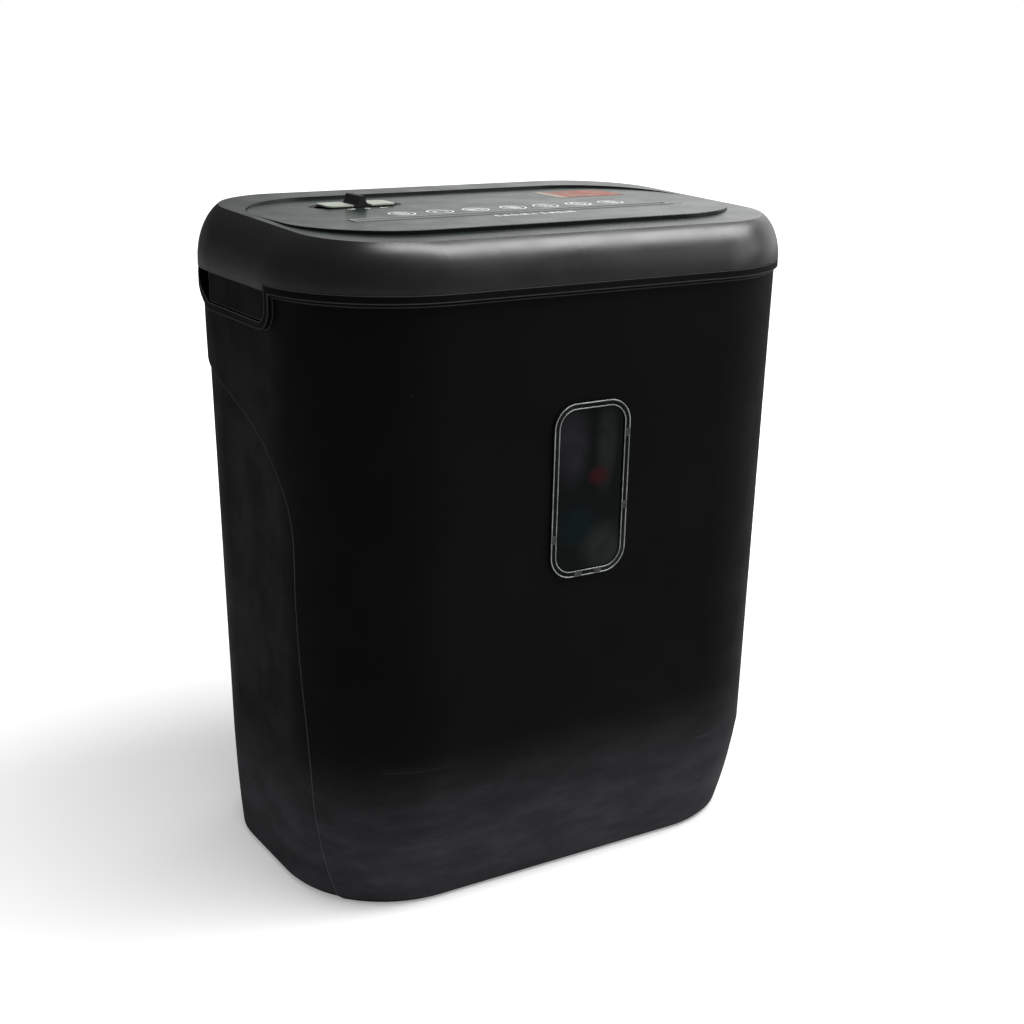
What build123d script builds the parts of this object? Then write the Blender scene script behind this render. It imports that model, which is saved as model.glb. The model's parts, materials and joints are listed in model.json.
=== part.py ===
"""Paper shredder: a lift-off cutting head standing on a waste bin.

Millimetres, +Z up. The origin is at the centre of the footprint, the long side runs along X
and the front faces -Y. Every piece is a separate solid, written to parts/ at the end.
"""
import os
from math import acos, atan, cos, degrees, pi, radians, sin, sqrt, tan
from build123d import *

os.makedirs("parts", exist_ok=True)

# ---------------------------------------------------------------- driving sizes: outside
body_length = 350.0  # along X, at the seam between head and bin
body_depth = 238.0  # along Y, at the seam
body_corner = 81.0  # corner radius at the seam
rim_height = 379.4  # top of the bin's rim
dome_height = 27.0  # seam to the top edge of the dome
dome_inset_x = 18.0
dome_inset_y = 12.0
dome_corner = 55.4
dome_turn = 66.0  # degrees that the dome's side has turned by its top edge
top_lean = 1.5  # degrees by which the cover's top rises towards the back
cover_wall = 2.6
plate_inset_x = 23.6  # from the seam's outline in to the top plate
plate_inset_y = 36.4
plate_corner = 63.1
plate_proud = 3.1  # how far the top plate stands above the dome
plate_sunk = 1.0
plate_gap = 0.5
plate_edge = 0.5

bin_step_x = 3.0  # the bin's side lies this far inside the rim
bin_step_y = 2.6
bin_wall = 3.6
bin_corner = 76.5
bin_taper_x = 7.4  # inset gained from the rim down to the crease
bin_taper_y = 6.9
crease_height = 67.0
roll_radius = 378.0  # the front curls in below the crease
roll_start = 8.0  # degrees at the crease
foot_turn = 1.0  # how far the sides and the back turn in at the floor
foot_height = 46.0  # where they start to
foot_rounding = 3.3  # how much the corner radius grows from the crease down to the floor
bin_floor = 4.0
bottom_chamfer = 3.0
rim_band = 4.6  # height of the proud lip around the rim
rim_slope = 2.0
side_recess = 1.5  # depth of the recessed sides and back
recess_drop = 47.4  # from the rim down to the recess at the back

notch_front = -44.0  # hand-hold notches in both narrow sides, along Y
notch_flat_end = 38.0
notch_rear = 84.0
notch_depth = 21.9  # from the rim
notch_radius = 8.0
notch_lip = 4.5
cover_drop = 3.6  # how far the cover's edge hangs into the notch

window_width = 53.7
window_height = 107.6
window_drop = 124.1  # from the rim down to its centre
window_radius = 15.0
window_rim = 4.0
window_rim_proud = 1.4
window_glass = 2.2
window_field_proud = 0.5
window_lap = 3.2  # overlap of the window's rim on the wall
window_plug_wall = 1.6
claw_height = 2.4
claw_width = 7.0
claw_catch = 1.5  # how far a claw reaches behind the wall

# ---------------------------------------------------------------- driving sizes: head
seam_gap = 0.3
edge_gap = 0.8  # around pieces that hang in the notches
skirt_wall = 2.4
apron_inset = 1.0
exit_ledge = 2.0  # left under each side plate
exit_depth = 74.0
skirt_clearance = 1.0
shaft_clearance = 48.0  # from the skirt's underside to the shafts
flange_thickness = 2.5
pocket_depth = 8.0
pocket_drop = 27.4  # from the rim
fit_gap = 0.3
seat_gap = 0.05
run_gap = 0.05

slot_margin = 64.5  # from the slot's ends to the body's
slot_width = 6.4
slot_y = -29.0
collar_wall = 1.8
collar_proud = 0.4  # above the top plate
guide_wall = 2.5
guide_flange = 9.0
guide_flange_end = 3.0
guide_flange_thick = 2.5
guide_clearance = 19.0  # from the shafts to the guide's lower edge
lever_width = 4.0
lever_y = -16.0
lever_rise = 32.0  # from the shafts to the lever's pin
lever_past = 3.0  # the lever's tip passes the middle of the slot
lever_tip_drop = 5.5
lever_tail_reach = 8.0
pin_radius = 1.5
ear_thick = 2.0
ear_reach = 4.0
shelf_half = 10.0
shelf_reach = 14.0
sensor_switch_rise = 7.6

switch_from_side = 100.0
switch_from_back = 78.0
switch_length = 61.0
switch_width = 24.0
switch_travel = 6.0  # each way from the middle
knob_height = 6.8  # above the top plate
knob_width = 4.2
tray_floor = 1.6
tray_wall = 3.0  # its rim carries the slider
slider_length = 46.0
slider_depth = 20.0
slider_proud = 1.6
slider_gap = 0.2  # between the top plate and the slider
slider_light_thick = 0.8
stem_width = 5.0
stem_depth = 4.0
stem_length = 12.0
mode_switch_size = (34.0, 16.0, 12.0)
slider_corner = 3.0
knob_foot = 4.0  # width of the concave foot on each side of the knob
knob_foot_turn = (0.25, 0.26)  # middle of the foot's curve, as shares of its width and height
knob_grip = 0.75  # share of the knob's height where its foot ends
knob_draft = 0.3

lamp_gap = 6.5  # from the slot's end
lamp_y = -30.0
lamp_pitch = 5.0
lamp_radius = 1.5

gland_x = 70.0
gland_rise = 11.6  # above the rim
gland_bore = 3.6
gland_wall = 1.8
gland_lip = 1.5
gland_seat = 1.6  # how far the dome has turned in at the gland
gland_length = 9.0

# ---------------------------------------------------------------- driving sizes: cutters
shaft_spacing = 28.0
shaft_drop = 27.4  # from the rim down to the shafts
side_room = 1.5  # from the slot's end to the side plate
disc_thick = 3.9
disc_pitch = 8.0
disc_radius = 16.2
hook_radius = 17.5
hook_count = 3
hook_step = 17.0  # degrees from one disc to the next
hex_flats = 14.0
spacer_radius = 9.8
journal_radius = 6.0
stub_radius = 5.0
bush_radius = 9.0
bush_proud = 0.6
plate_thick = 2.5
stripper_thick = 3.4
stripper_back = 26.0
stripper_front = 3.0
stripper_half_height = 13.5
rod_radius = 3.0
rod_back = 22.0
rod_rise = 8.0
nut_thick = 3.0
nut_flats = 7.0
chassis_front = -74.0
chassis_rise = 17.5  # side plates above the shafts
chassis_rear = 18.0
gear_side_front = -8.0
gear_side_rear = 90.0
gear_side_rise = 30.0
gear_plate_thick = 2.0
gear_plate_span = (-61.0, 73.0)
gear_plate_half = 30.0  # above and below the shafts
pad_height = 6.0
foot_reach = 12.5
foot_width = 12.0
frame_screw_radius = 2.0

# ---------------------------------------------------------------- driving sizes: gears
pressure_angle = 25.0
backlash = 0.12
gear_start = 3.5  # from the side plate to the first gear layer
layer_widths = (8.0, 6.0, 5.0)
layer_gap = 1.5
sync_module, sync_teeth = 2.0, 14
drive_module, drive_teeth, drive_pinion_teeth = 1.5, 40, 12
middle_module, middle_teeth, middle_pinion_teeth = 1.0, 45, 12
motor_module, motor_gear_teeth, motor_pinion_teeth = 0.8, 40, 10
drive_angle = 20.0  # direction from each axis to the next, in the YZ plane
middle_angle = -10.0
motor_angle = -70.0
axle_radius = 3.0
hub_radius = 5.0
standoff_radius = 4.0
standoff_front = 13.0
standoff_rear = 10.5

# ---------------------------------------------------------------- driving sizes: motor
motor_radius = 28.0
motor_wall = 2.0
motor_length = 68.0
motor_cap = 8.0
motor_hub_radius = 5.0
motor_screw_circle = 20.0
motor_screw_radius = 1.5
screw_head = 2.0
rotor_radius = 15.0
rotor_length = 38.0
stator_inner = 15.6
rotor_shaft_radius = 2.5
fan_radius = 22.0
fan_width = 8.0
fan_blades = 9

# ---------------------------------------------------------------- driving sizes: small parts
column_from_side = 47.0
column_from_back = 41.0
column_radius = 5.2
column_drop = 9.5  # tops of the screw columns below the shafts
case_screw_radius = 1.7
case_screw_length = 24.0
case_head_radius = 3.5
well_roof = 9.0
post_radius = 3.5
post_inset = 5.0
board_screw_radius = 1.3
left_feet = (-60.0, 6.0)
right_feet = (-60.0, 6.0, 56.0)
bracket_half = 13.0
boss_gap = 0.5
boss_sink = 0.5  # how far the cover's screw bosses run into its top
board_size = (72.0, 50.0, 1.6)
board_from_side = 94.0
board_from_back = 62.0
board_rise = 20.0  # above the skirt's floor
interlock_x = 100.0
interlock_from_front = 24.0
interlock_travel = 3.0
plunger_radius = 2.5
plunger_flange = 4.5
plunger_reach = 2.3  # below the housing's floor
spring_radius = 3.3
spring_wire = 0.6
spring_turns = 5
boss_height = 7.6
bracket_rise = 26.0
bracket_thick = 2.0
rib_thick = 4.0
rib_reach = 5.0  # past the plunger's axis
rib_height = 28.0

# ---------------------------------------------------------------- worked-out places
half_length = body_length / 2
half_depth = body_depth / 2
plate_length = body_length - 2 * plate_inset_x
plate_depth = body_depth - 2 * plate_inset_y
seam = rim_height + seam_gap
recess_top = rim_height - recess_drop
notch_bottom = rim_height - notch_depth
window_middle = rim_height - window_drop
pocket_bottom = rim_height - pocket_drop
gland_z = rim_height + gland_rise
shaft_height = rim_height - shaft_drop
lever_height = shaft_height + lever_rise
slot_length = body_length - 2 * slot_margin
cutter_span = slot_length + 2 * side_room  # between the side plates
disc_count = int(cutter_span / disc_pitch)
exit_length = cutter_span - 2 * exit_ledge
switch_x = switch_from_side - half_length
switch_y = half_depth - switch_from_back
lamp_x = slot_length / 2 + lamp_gap
column_x = half_length - column_from_side
column_y = half_depth - column_from_back
board_x = board_from_side - half_length
board_y = half_depth - board_from_back
interlock_y = interlock_from_front - half_depth
skirt_floor = shaft_height - shaft_clearance
guide_bottom = shaft_height + guide_clearance
chassis_top = shaft_height + chassis_rise
gear_side_top = shaft_height + gear_side_rise
gear_plate_heights = (shaft_height - gear_plate_half, shaft_height + gear_plate_half)
column_top = shaft_height - column_drop
board_height = skirt_floor + board_rise
bracket_height = skirt_floor + bracket_rise
dome_top = seam + dome_height - seam_gap
plate_top = dome_top + plate_proud
cover_under = dome_top - cover_wall
floor_top = skirt_floor + skirt_wall
flange_top = seam + flange_thickness
front_shaft_y = slot_y - shaft_spacing / 2
rear_shaft_y = slot_y + shaft_spacing / 2
plate_inner = cutter_span / 2
plate_outer = plate_inner + plate_thick
plunger_bottom = skirt_floor - plunger_reach
rib_top = plunger_bottom - fit_gap


def tub_section(height):
    """Half length, half depth, corner radius and middle Y of the bin's outside at a height."""
    down = max(rim_height - height, 0) / (rim_height - crease_height)
    turned = foot_turn * max(1 - height / foot_height, 0) ** 2
    rounding = foot_rounding * max(1 - height / crease_height, 0)
    back = bin_taper_y * down + turned
    front = bin_taper_y * min(down, 1)
    if height < crease_height:
        first = radians(roll_start)
        rise = sin(first) + (crease_height - height) / roll_radius
        front += roll_radius * (cos(first) - sqrt(1 - rise**2))
    return (
        half_length - bin_step_x - bin_taper_x * down - turned,
        half_depth - bin_step_y - (front + back) / 2,
        bin_corner - bin_taper_y * min(down, 1) + rounding,
        (front - back) / 2,
    )


def outline(half_x, half_y, corner, inset=0.0, mode=Mode.ADD):
    """Rounded rectangle, drawn in the sketch that is open."""
    RectangleRounded(2 * (half_x - inset), 2 * (half_y - inset), corner - inset, mode=mode)


def tub_outline(height, inset=0.0, mode=Mode.ADD):
    """Plan of the bin's outside at a height, moved inwards by inset."""
    half_x, half_y, corner, middle = tub_section(height)
    with Locations((0, middle)):
        outline(half_x, half_y, corner, inset, mode)


def body_outline(inset=0.0, mode=Mode.ADD):
    outline(half_length, half_depth, body_corner, inset, mode)


def skirt_outline(inset=0.0, mode=Mode.ADD):
    """Outside of the head's skirt, which slides into the bin."""
    tub_outline(skirt_floor, bin_wall + skirt_clearance + inset, mode)


def block(x_span, y_span, z_span, mode=Mode.ADD):
    """A box between pairs of X, Y and Z values."""
    spans = (x_span, y_span, z_span)
    middle = tuple((low + high) / 2 for low, high in spans)
    with Locations(middle):
        Box(*(high - low for low, high in spans), mode=mode)


def upright(x, y, low, high, radius, mode=Mode.ADD):
    """A cylinder along Z."""
    with Locations((x, y, low)):
        Cylinder(radius, high - low, align=(Align.CENTER, Align.CENTER, Align.MIN), mode=mode)


def lengthwise(y, z, low, high, radius, mode=Mode.ADD):
    """A cylinder along X."""
    with Locations((low, y, z)):
        Cylinder(
            radius,
            high - low,
            rotation=(0, 90, 0),
            align=(Align.CENTER, Align.CENTER, Align.MIN),
            mode=mode,
        )


def tub(inset, low, chamfer=0.0):
    """The bin's outer form from height low up, moved inwards by inset, with a chamfer below."""
    steps = 5
    heights = [low + (crease_height - low) * i / steps for i in range(steps + 1)]
    with BuildPart() as form:
        for height in heights:
            with BuildSketch(Plane.XY.offset(height)):
                tub_outline(height, inset)
        loft()
        for height in (crease_height, rim_height):
            with BuildSketch(Plane.XY.offset(height)):
                tub_outline(height, inset)
        loft(ruled=True)
        if chamfer:
            for drop in (chamfer, 0):
                with BuildSketch(Plane.XY.offset(low - drop)):
                    tub_outline(low, inset + drop)
            loft(ruled=True)
    return form.part


def dome(inset, drop):
    """The head's domed form, moved inwards by inset and down by drop; its top leans forwards."""
    steps = 5
    last = radians(dome_turn)
    with BuildPart() as form:
        for i in range(steps + 1):
            turn = last * i / steps
            share = (1 - cos(turn)) / (1 - cos(last))
            rise = sin(turn) / sin(last)
            half_y = half_depth - dome_inset_y * share
            height = seam + (dome_top - drop - seam) * rise
            lean = radians(top_lean * rise)
            middle = (0, 0, height + half_y * tan(lean))
            with BuildSketch(Plane(middle, x_dir=(1, 0, 0), z_dir=(0, -sin(lean), cos(lean)))):
                outline(
                    half_length - dome_inset_x * share,
                    half_y,
                    body_corner + (dome_corner - body_corner) * share,
                    inset,
                )
        loft()
    return form.part


def ceiling(y):
    """Height of the cover's underside at a Y, beside the top plate's pocket."""
    return cover_under + (y + half_depth - dome_inset_y) * tan(radians(top_lean))


def notch_outline(grow=0.0):
    """Outline of the hand-hold notch in a YZ sketch, grown outwards by grow."""
    top = rim_height + 12.0
    slope = (rim_height - notch_bottom) / (notch_rear - notch_flat_end)
    rear_top = notch_rear + (top - rim_height) / slope
    Polygon(
        (notch_front, top),
        (notch_front, notch_bottom),
        (notch_flat_end, notch_bottom),
        (rear_top, top),
        align=None,
    )
    fillet(vertices().group_by(Axis.Y)[0], notch_radius)
    if grow:
        offset(amount=grow, kind=Kind.INTERSECTION, mode=Mode.REPLACE)


wall_lean = atan(bin_taper_y / (rim_height - crease_height))
window_plane = Plane(
    origin=(0, -tub_section(window_middle)[1], window_middle),
    x_dir=(1, 0, 0),
    z_dir=(0, -cos(wall_lean), -sin(wall_lean)),
)


def window_outline(inset=0.0):
    RectangleRounded(
        window_width - 2 * inset, window_height - 2 * inset, window_radius - inset
    )


across = 2 * half_length + 20  # an X extrusion that passes the whole body

# ================================================================ bin
tub_outside = tub(0, bottom_chamfer, bottom_chamfer)
tub_inside = tub(bin_wall, bin_floor)
tub_recessed = tub(side_recess, bottom_chamfer, bottom_chamfer)

with BuildPart() as recess_skin:
    add(tub_outside)
    add(tub_recessed, mode=Mode.SUBTRACT)
    with BuildSketch(Plane.YZ.offset(-across / 2)) as side_area:
        with BuildLine():
            swoosh = Spline(
                (-66.5, -1),
                (-61.5, 104),
                (-56.4, 204),
                (-51, 258),
                (-27.7, 282.5),
                (17, 303),
                (84, 324),
                (half_depth + 5, recess_top),
            )
            Polyline(swoosh @ 1, (half_depth + 5, -1), swoosh @ 0)
        make_face()
    extrude(amount=across, mode=Mode.INTERSECT)

with BuildPart() as notch_lips:
    with BuildSketch(Plane.XY.offset(notch_bottom - 2 * notch_lip)):
        body_outline()
    extrude(amount=rim_height - notch_bottom + 2 * notch_lip)
    with BuildSketch(Plane.YZ.offset(-across / 2)):
        notch_outline(notch_lip)
    extrude(amount=across, mode=Mode.INTERSECT)

with BuildPart() as bin_shell:
    add(tub_outside)
    add(recess_skin.part, mode=Mode.SUBTRACT)
    # proud lip around the rim
    with BuildSketch(Plane.XY.offset(rim_height - rim_band)):
        body_outline()
    extrude(amount=rim_band)
    band_low = rim_height - rim_band - rim_slope
    with BuildSketch(Plane.XY.offset(band_low)):
        tub_outline(band_low)
    with BuildSketch(Plane.XY.offset(rim_height - rim_band)):
        body_outline()
    loft(ruled=True)
    # the lip follows the hand-hold notches
    add(notch_lips.part)
    add(tub_inside, mode=Mode.SUBTRACT)
    with BuildSketch(Plane.YZ.offset(-across / 2)):
        notch_outline()
    extrude(amount=across, mode=Mode.SUBTRACT)
    # window hole in the front wall
    with BuildSketch(window_plane.offset(bin_wall)):
        window_outline(window_lap)
    extrude(amount=-3 * bin_wall, mode=Mode.SUBTRACT)
    # rib that pushes the interlock plunger up
    with BuildSketch(Plane.YZ.offset(interlock_x - rib_thick / 2)):
        Polygon(
            (-tub_section(rib_top)[1] + bin_wall / 2, rib_top),
            (interlock_y + rib_reach, rib_top),
            (interlock_y + rib_reach, rib_top - rib_reach),
            (-tub_section(rib_top)[1] + bin_wall / 2, rib_top - rib_height),
            align=None,
        )
    extrude(amount=rib_thick)

with BuildPart() as window:
    with BuildSketch(window_plane):
        window_outline()
    extrude(amount=window_rim_proud)
    with BuildSketch(window_plane.offset(window_field_proud)):
        window_outline(window_rim)
    extrude(amount=window_rim_proud, mode=Mode.SUBTRACT)
    with BuildSketch(window_plane):
        window_outline(window_lap + fit_gap)
    extrude(amount=-bin_wall - fit_gap)
    with BuildSketch(window_plane.offset(window_field_proud - window_glass)):
        window_outline(window_lap + fit_gap + window_plug_wall)
    extrude(amount=-2 * bin_wall, mode=Mode.SUBTRACT)
    # snap claws behind the wall: two on the right, one on the left, two below
    claw_reach = fit_gap + window_plug_wall + claw_catch
    claw_edge = window_lap - claw_catch + claw_reach / 2
    with BuildSketch(window_plane.offset(-bin_wall - fit_gap)):
        for side, share in ((1, 0.3), (1, -0.12), (-1, -0.26)):
            with Locations((side * (window_width / 2 - claw_edge), share * window_height)):
                Rectangle(claw_reach, claw_width)
        for side in (-1, 1):
            with Locations((side * claw_width, claw_edge - window_height / 2)):
                Rectangle(claw_width, claw_reach)
    extrude(amount=-claw_height)

# ================================================================ head: housing
# the housing's skin comes out into the notches, in front of the finger pockets


def apron(inset, low, high, grow):
    """Panel that fills the flat part of both notches, inside the body outline."""
    with BuildPart() as panel:
        with BuildSketch(Plane.XY.offset(low)):
            body_outline(inset)
        extrude(amount=high - low)
        with BuildSketch(Plane.YZ.offset(-across / 2)):
            notch_outline(-grow)
            with Locations((notch_flat_end - half_depth - grow + edge_gap, high)):
                Rectangle(2 * half_depth, 2 * rim_height, mode=Mode.INTERSECT)
        extrude(amount=across, mode=Mode.INTERSECT)
    return panel.part


apron_top = seam - cover_drop - seam_gap
aprons = [
    apron(apron_inset, notch_bottom, apron_top, edge_gap),
    apron(cover_wall + fit_gap, notch_bottom, flange_top, edge_gap),
]
apron_hollow = apron(
    cover_wall + fit_gap + skirt_wall, notch_bottom, flange_top, edge_gap + skirt_wall
)


def pocket_block(wall, low, high):
    """What the finger pockets take out of the skirt, grown by a wall."""
    long = notch_rear - notch_flat_end
    with BuildPart() as ends:
        with BuildSketch(Plane.XY.offset(low)):
            with Locations((0, notch_flat_end + long / 2)):
                Rectangle(across, long + 2 * wall)
            skirt_outline(pocket_depth + wall, mode=Mode.SUBTRACT)
        extrude(amount=high - low)
    return ends.part


with BuildPart() as housing_hollow:
    with BuildSketch(Plane.XY.offset(floor_top)):
        skirt_outline(skirt_wall)
    extrude(amount=flange_top - floor_top)
    add(pocket_block(skirt_wall, pocket_bottom - skirt_wall, flange_top), mode=Mode.SUBTRACT)
    add(apron_hollow)

column_places = [(x, y) for x in (-column_x, column_x) for y in (-column_y, column_y)]
board_posts = [
    (board_x + x * (board_size[0] / 2 - post_inset), board_y + y * (board_size[1] / 2 - post_inset))
    for x in (-1, 1)
    for y in (-1, 1)
]
foot_middle = plate_outer + foot_reach / 2
foot_places = [(-foot_middle, y) for y in left_feet] + [(foot_middle, y) for y in right_feet]
pad_top = floor_top + pad_height
boss_top = floor_top + boss_height
bracket_columns = [(interlock_x + side * bracket_half, interlock_y) for side in (-1, 1)]
well_top = column_top - well_roof

with BuildPart() as lower_housing:
    with BuildSketch(Plane.XY.offset(skirt_floor)):
        skirt_outline()
    extrude(amount=flange_top - skirt_floor)
    with BuildSketch(Plane.XY.offset(seam)):
        body_outline(cover_wall + fit_gap)
    extrude(amount=flange_thickness)
    for panel in aprons:
        add(panel)
    add(pocket_block(0, pocket_bottom, seam), mode=Mode.SUBTRACT)
    add(housing_hollow.part, mode=Mode.SUBTRACT)
    block(
        (-exit_length / 2, exit_length / 2),
        (slot_y - exit_depth / 2, slot_y + exit_depth / 2),
        (skirt_floor, floor_top),
        mode=Mode.SUBTRACT,
    )
    for x, y in column_places:
        upright(x, y, skirt_floor, column_top, column_radius)
        upright(x, y, skirt_floor, well_top, case_head_radius + fit_gap, mode=Mode.SUBTRACT)
        upright(x, y, well_top, column_top, case_screw_radius + seat_gap, mode=Mode.SUBTRACT)
    for x, y in foot_places:
        pad = foot_width / 2 + 0.5
        block((x - pad, x + pad), (y - pad, y + pad), (floor_top, pad_top))
        upright(x, y, floor_top, pad_top, frame_screw_radius + seat_gap, mode=Mode.SUBTRACT)
    for x, y in board_posts:
        upright(x, y, floor_top, board_height, post_radius)
        upright(x, y, floor_top, board_height, board_screw_radius + seat_gap, mode=Mode.SUBTRACT)
    for x, y in bracket_columns:
        upright(x, y, floor_top, bracket_height, post_radius)
        upright(x, y, floor_top, bracket_height, board_screw_radius + seat_gap, mode=Mode.SUBTRACT)
    upright(interlock_x, interlock_y, floor_top, boss_top, plunger_radius + skirt_wall)
    upright(interlock_x, interlock_y, skirt_floor, boss_top, plunger_radius + run_gap, mode=Mode.SUBTRACT)

# ================================================================ head: cover and top plate
dome_outside = dome(0, 0)

with BuildPart() as cover_hollow:
    add(dome(cover_wall, cover_wall))
    # the floor and the wall of the top plate's level pocket stay
    with BuildSketch(Plane.XY.offset(cover_under)):
        outline(plate_length / 2, plate_depth / 2, plate_corner, -plate_gap - cover_wall)
    extrude(amount=dome_height, mode=Mode.SUBTRACT)

with BuildPart() as cover_lips:
    with BuildSketch(Plane.XY.offset(seam - cover_drop)):
        body_outline()
        body_outline(cover_wall, mode=Mode.SUBTRACT)
    extrude(amount=cover_drop)
    with BuildSketch(Plane.YZ.offset(-across / 2)):
        notch_outline(-edge_gap)
        with Locations((0, rim_height)):
            Rectangle(2 * half_depth, 4 * cover_drop, mode=Mode.INTERSECT)
    extrude(amount=across, mode=Mode.INTERSECT)

lamp_places = [(lamp_x, lamp_y), (lamp_x + lamp_pitch, lamp_y)]
plate_under = dome_top - plate_sunk
collar_length = slot_length + 2 * collar_wall
collar_depth = slot_width + 2 * collar_wall
gland_face = half_depth - gland_seat
gland_flange = gland_bore + 2 * gland_wall
switch_hole_length = switch_length + 2 * seat_gap
switch_hole_width = switch_width + 2 * seat_gap

with BuildPart() as upper_cover:
    add(dome_outside)
    add(cover_hollow.part, mode=Mode.SUBTRACT)
    with BuildSketch(Plane.XY.offset(plate_under)):
        outline(plate_length / 2, plate_depth / 2, plate_corner, -plate_gap)
    extrude(amount=dome_height, mode=Mode.SUBTRACT)
    add(cover_lips.part)
    for x, y in column_places:
        upright(x, y, column_top + boss_gap, ceiling(y) + boss_sink, column_radius)
        screw_room = well_top + case_screw_length + 1
        upright(x, y, column_top + boss_gap, screw_room, case_screw_radius + seat_gap, Mode.SUBTRACT)
    with BuildSketch(Plane.XY.offset(cover_under)):
        with Locations((0, slot_y)):
            Rectangle(collar_length + 2 * fit_gap, collar_depth + 2 * fit_gap)
        with Locations((switch_x, switch_y)):
            Rectangle(stem_length + 2 * switch_travel + 2, stem_depth + 2)
        with Locations(*lamp_places):
            Circle(lamp_radius + seat_gap)
    extrude(amount=cover_wall, mode=Mode.SUBTRACT)
    with Locations((gland_x, gland_face, gland_z)):
        Cylinder(gland_bore + gland_wall + seat_gap, 4 * cover_wall, rotation=(90, 0, 0), mode=Mode.SUBTRACT)
        Cylinder(
            gland_flange + seat_gap,
            2 * cover_wall,
            rotation=(-90, 0, 0),
            align=(Align.CENTER, Align.CENTER, Align.MIN),
            mode=Mode.SUBTRACT,
        )

with BuildPart() as top_plate:
    with BuildSketch(Plane.XY.offset(plate_under)):
        outline(plate_length / 2, plate_depth / 2, plate_corner)
        with Locations((0, slot_y)):
            Rectangle(collar_length + 2 * seat_gap, collar_depth + 2 * seat_gap, mode=Mode.SUBTRACT)
        with Locations((switch_x, switch_y)):
            SlotOverall(switch_hole_length, switch_hole_width, mode=Mode.SUBTRACT)
        with Locations(*lamp_places):
            Circle(lamp_radius + seat_gap, mode=Mode.SUBTRACT)
    extrude(amount=plate_top - plate_under)
    fillet(top_plate.edges().group_by(Axis.Z)[-1].sort_by(SortBy.LENGTH)[-8:], plate_edge)

with BuildPart() as indicator_lenses:
    for x, y in lamp_places:
        upright(x, y, cover_under, plate_top + 0.2, lamp_radius)
        upright(x, y, cover_under - 1, cover_under, lamp_radius + 1)

with BuildPart() as cord_gland:
    with Locations((gland_x, gland_face + gland_lip, gland_z)):
        for radius, length in ((gland_flange, gland_lip), (gland_bore + gland_wall, gland_length)):
            Cylinder(radius, length, rotation=(90, 0, 0), align=(Align.CENTER, Align.CENTER, Align.MIN))
        Cylinder(gland_bore, 4 * gland_length, rotation=(90, 0, 0), mode=Mode.SUBTRACT)

# ================================================================ head: paper feed
guide_rear = slot_y + slot_width / 2 + guide_wall
flange_low = cover_under - guide_flange_thick
lever_tip = (slot_y - lever_past, lever_height - lever_tip_drop)
lever_tail = (lever_y + lever_tail_reach, lever_height + 0.5)

with BuildPart() as feed_guide:
    block(
        (-collar_length / 2, collar_length / 2),
        (slot_y - collar_depth / 2, slot_y + collar_depth / 2),
        (cover_under, plate_top + collar_proud),
    )
    walls = slot_width / 2 + guide_wall
    block(
        (-slot_length / 2 - guide_wall, slot_length / 2 + guide_wall),
        (slot_y - walls, slot_y + walls),
        (guide_bottom, cover_under),
    )
    block(
        (-slot_length / 2 - guide_flange_end, slot_length / 2 + guide_flange_end),
        (slot_y - slot_width / 2 - guide_flange, slot_y + slot_width / 2 + guide_flange),
        (flange_low, cover_under),
    )
    block((-shelf_half, shelf_half), (slot_y, lever_y + shelf_reach), (flange_low, cover_under))
    for side in (-1, 1):
        inner, outer = side * (lever_width / 2 + 1), side * (lever_width / 2 + 1 + ear_thick)
        block(
            sorted((inner, outer)),
            (guide_rear - 1, lever_y + ear_reach),
            (lever_height - ear_reach, flange_low),
        )
    block(
        (-slot_length / 2, slot_length / 2),
        (slot_y - slot_width / 2, slot_y + slot_width / 2),
        (guide_bottom, plate_top + collar_proud),
        mode=Mode.SUBTRACT,
    )
    lever_room = lever_width / 2 + 0.5
    block(
        (-lever_room, lever_room),
        (lever_tip[0] - 2, guide_rear),
        (guide_bottom, lever_height + ear_reach),
        mode=Mode.SUBTRACT,
    )
    ear_hole = pin_radius + seat_gap
    lengthwise(lever_y, lever_height, -3 * lever_width, 3 * lever_width, ear_hole, Mode.SUBTRACT)

with BuildPart() as sensor_lever:
    with BuildSketch(Plane.YZ.offset(-lever_width / 2)):
        with Locations((lever_y, lever_height)):
            Circle(pin_radius + 1.7)
        Polygon(
            (lever_y, lever_height - 1.4),
            (lever_y, lever_height + 1.4),
            (lever_tip[0], lever_tip[1] + 1.1),
            (lever_tip[0], lever_tip[1] - 1.1),
            align=None,
        )
        Polygon(
            (lever_y, lever_height - 1.2),
            (lever_y, lever_height + 1.2),
            (lever_tail[0], lever_tail[1] + 0.8),
            (lever_tail[0], lever_tail[1] - 0.8),
            align=None,
        )
        with Locations((lever_y, lever_height)):
            Circle(pin_radius + run_gap, mode=Mode.SUBTRACT)
    extrude(amount=lever_width)

with BuildPart() as sensor_pin:
    pin_half = lever_width / 2 + 1 + ear_thick + 0.5
    lengthwise(lever_y, lever_height, -pin_half, pin_half, pin_radius)

with BuildPart() as sensor_switch:
    button_y = lever_tail[0]
    switch_low = lever_height + sensor_switch_rise
    block((-6, 6), (button_y - 3.5, button_y + 4.5), (switch_low, flange_low))
    upright(0, button_y, switch_low - 2.2, switch_low, 1.0)

# ================================================================ head: mode switch
tray_top = plate_top - 0.2
slider_low = plate_top + slider_gap
slider_top = plate_top + slider_proud
stem_bottom = cover_under - 0.55 * mode_switch_size[2]

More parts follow.
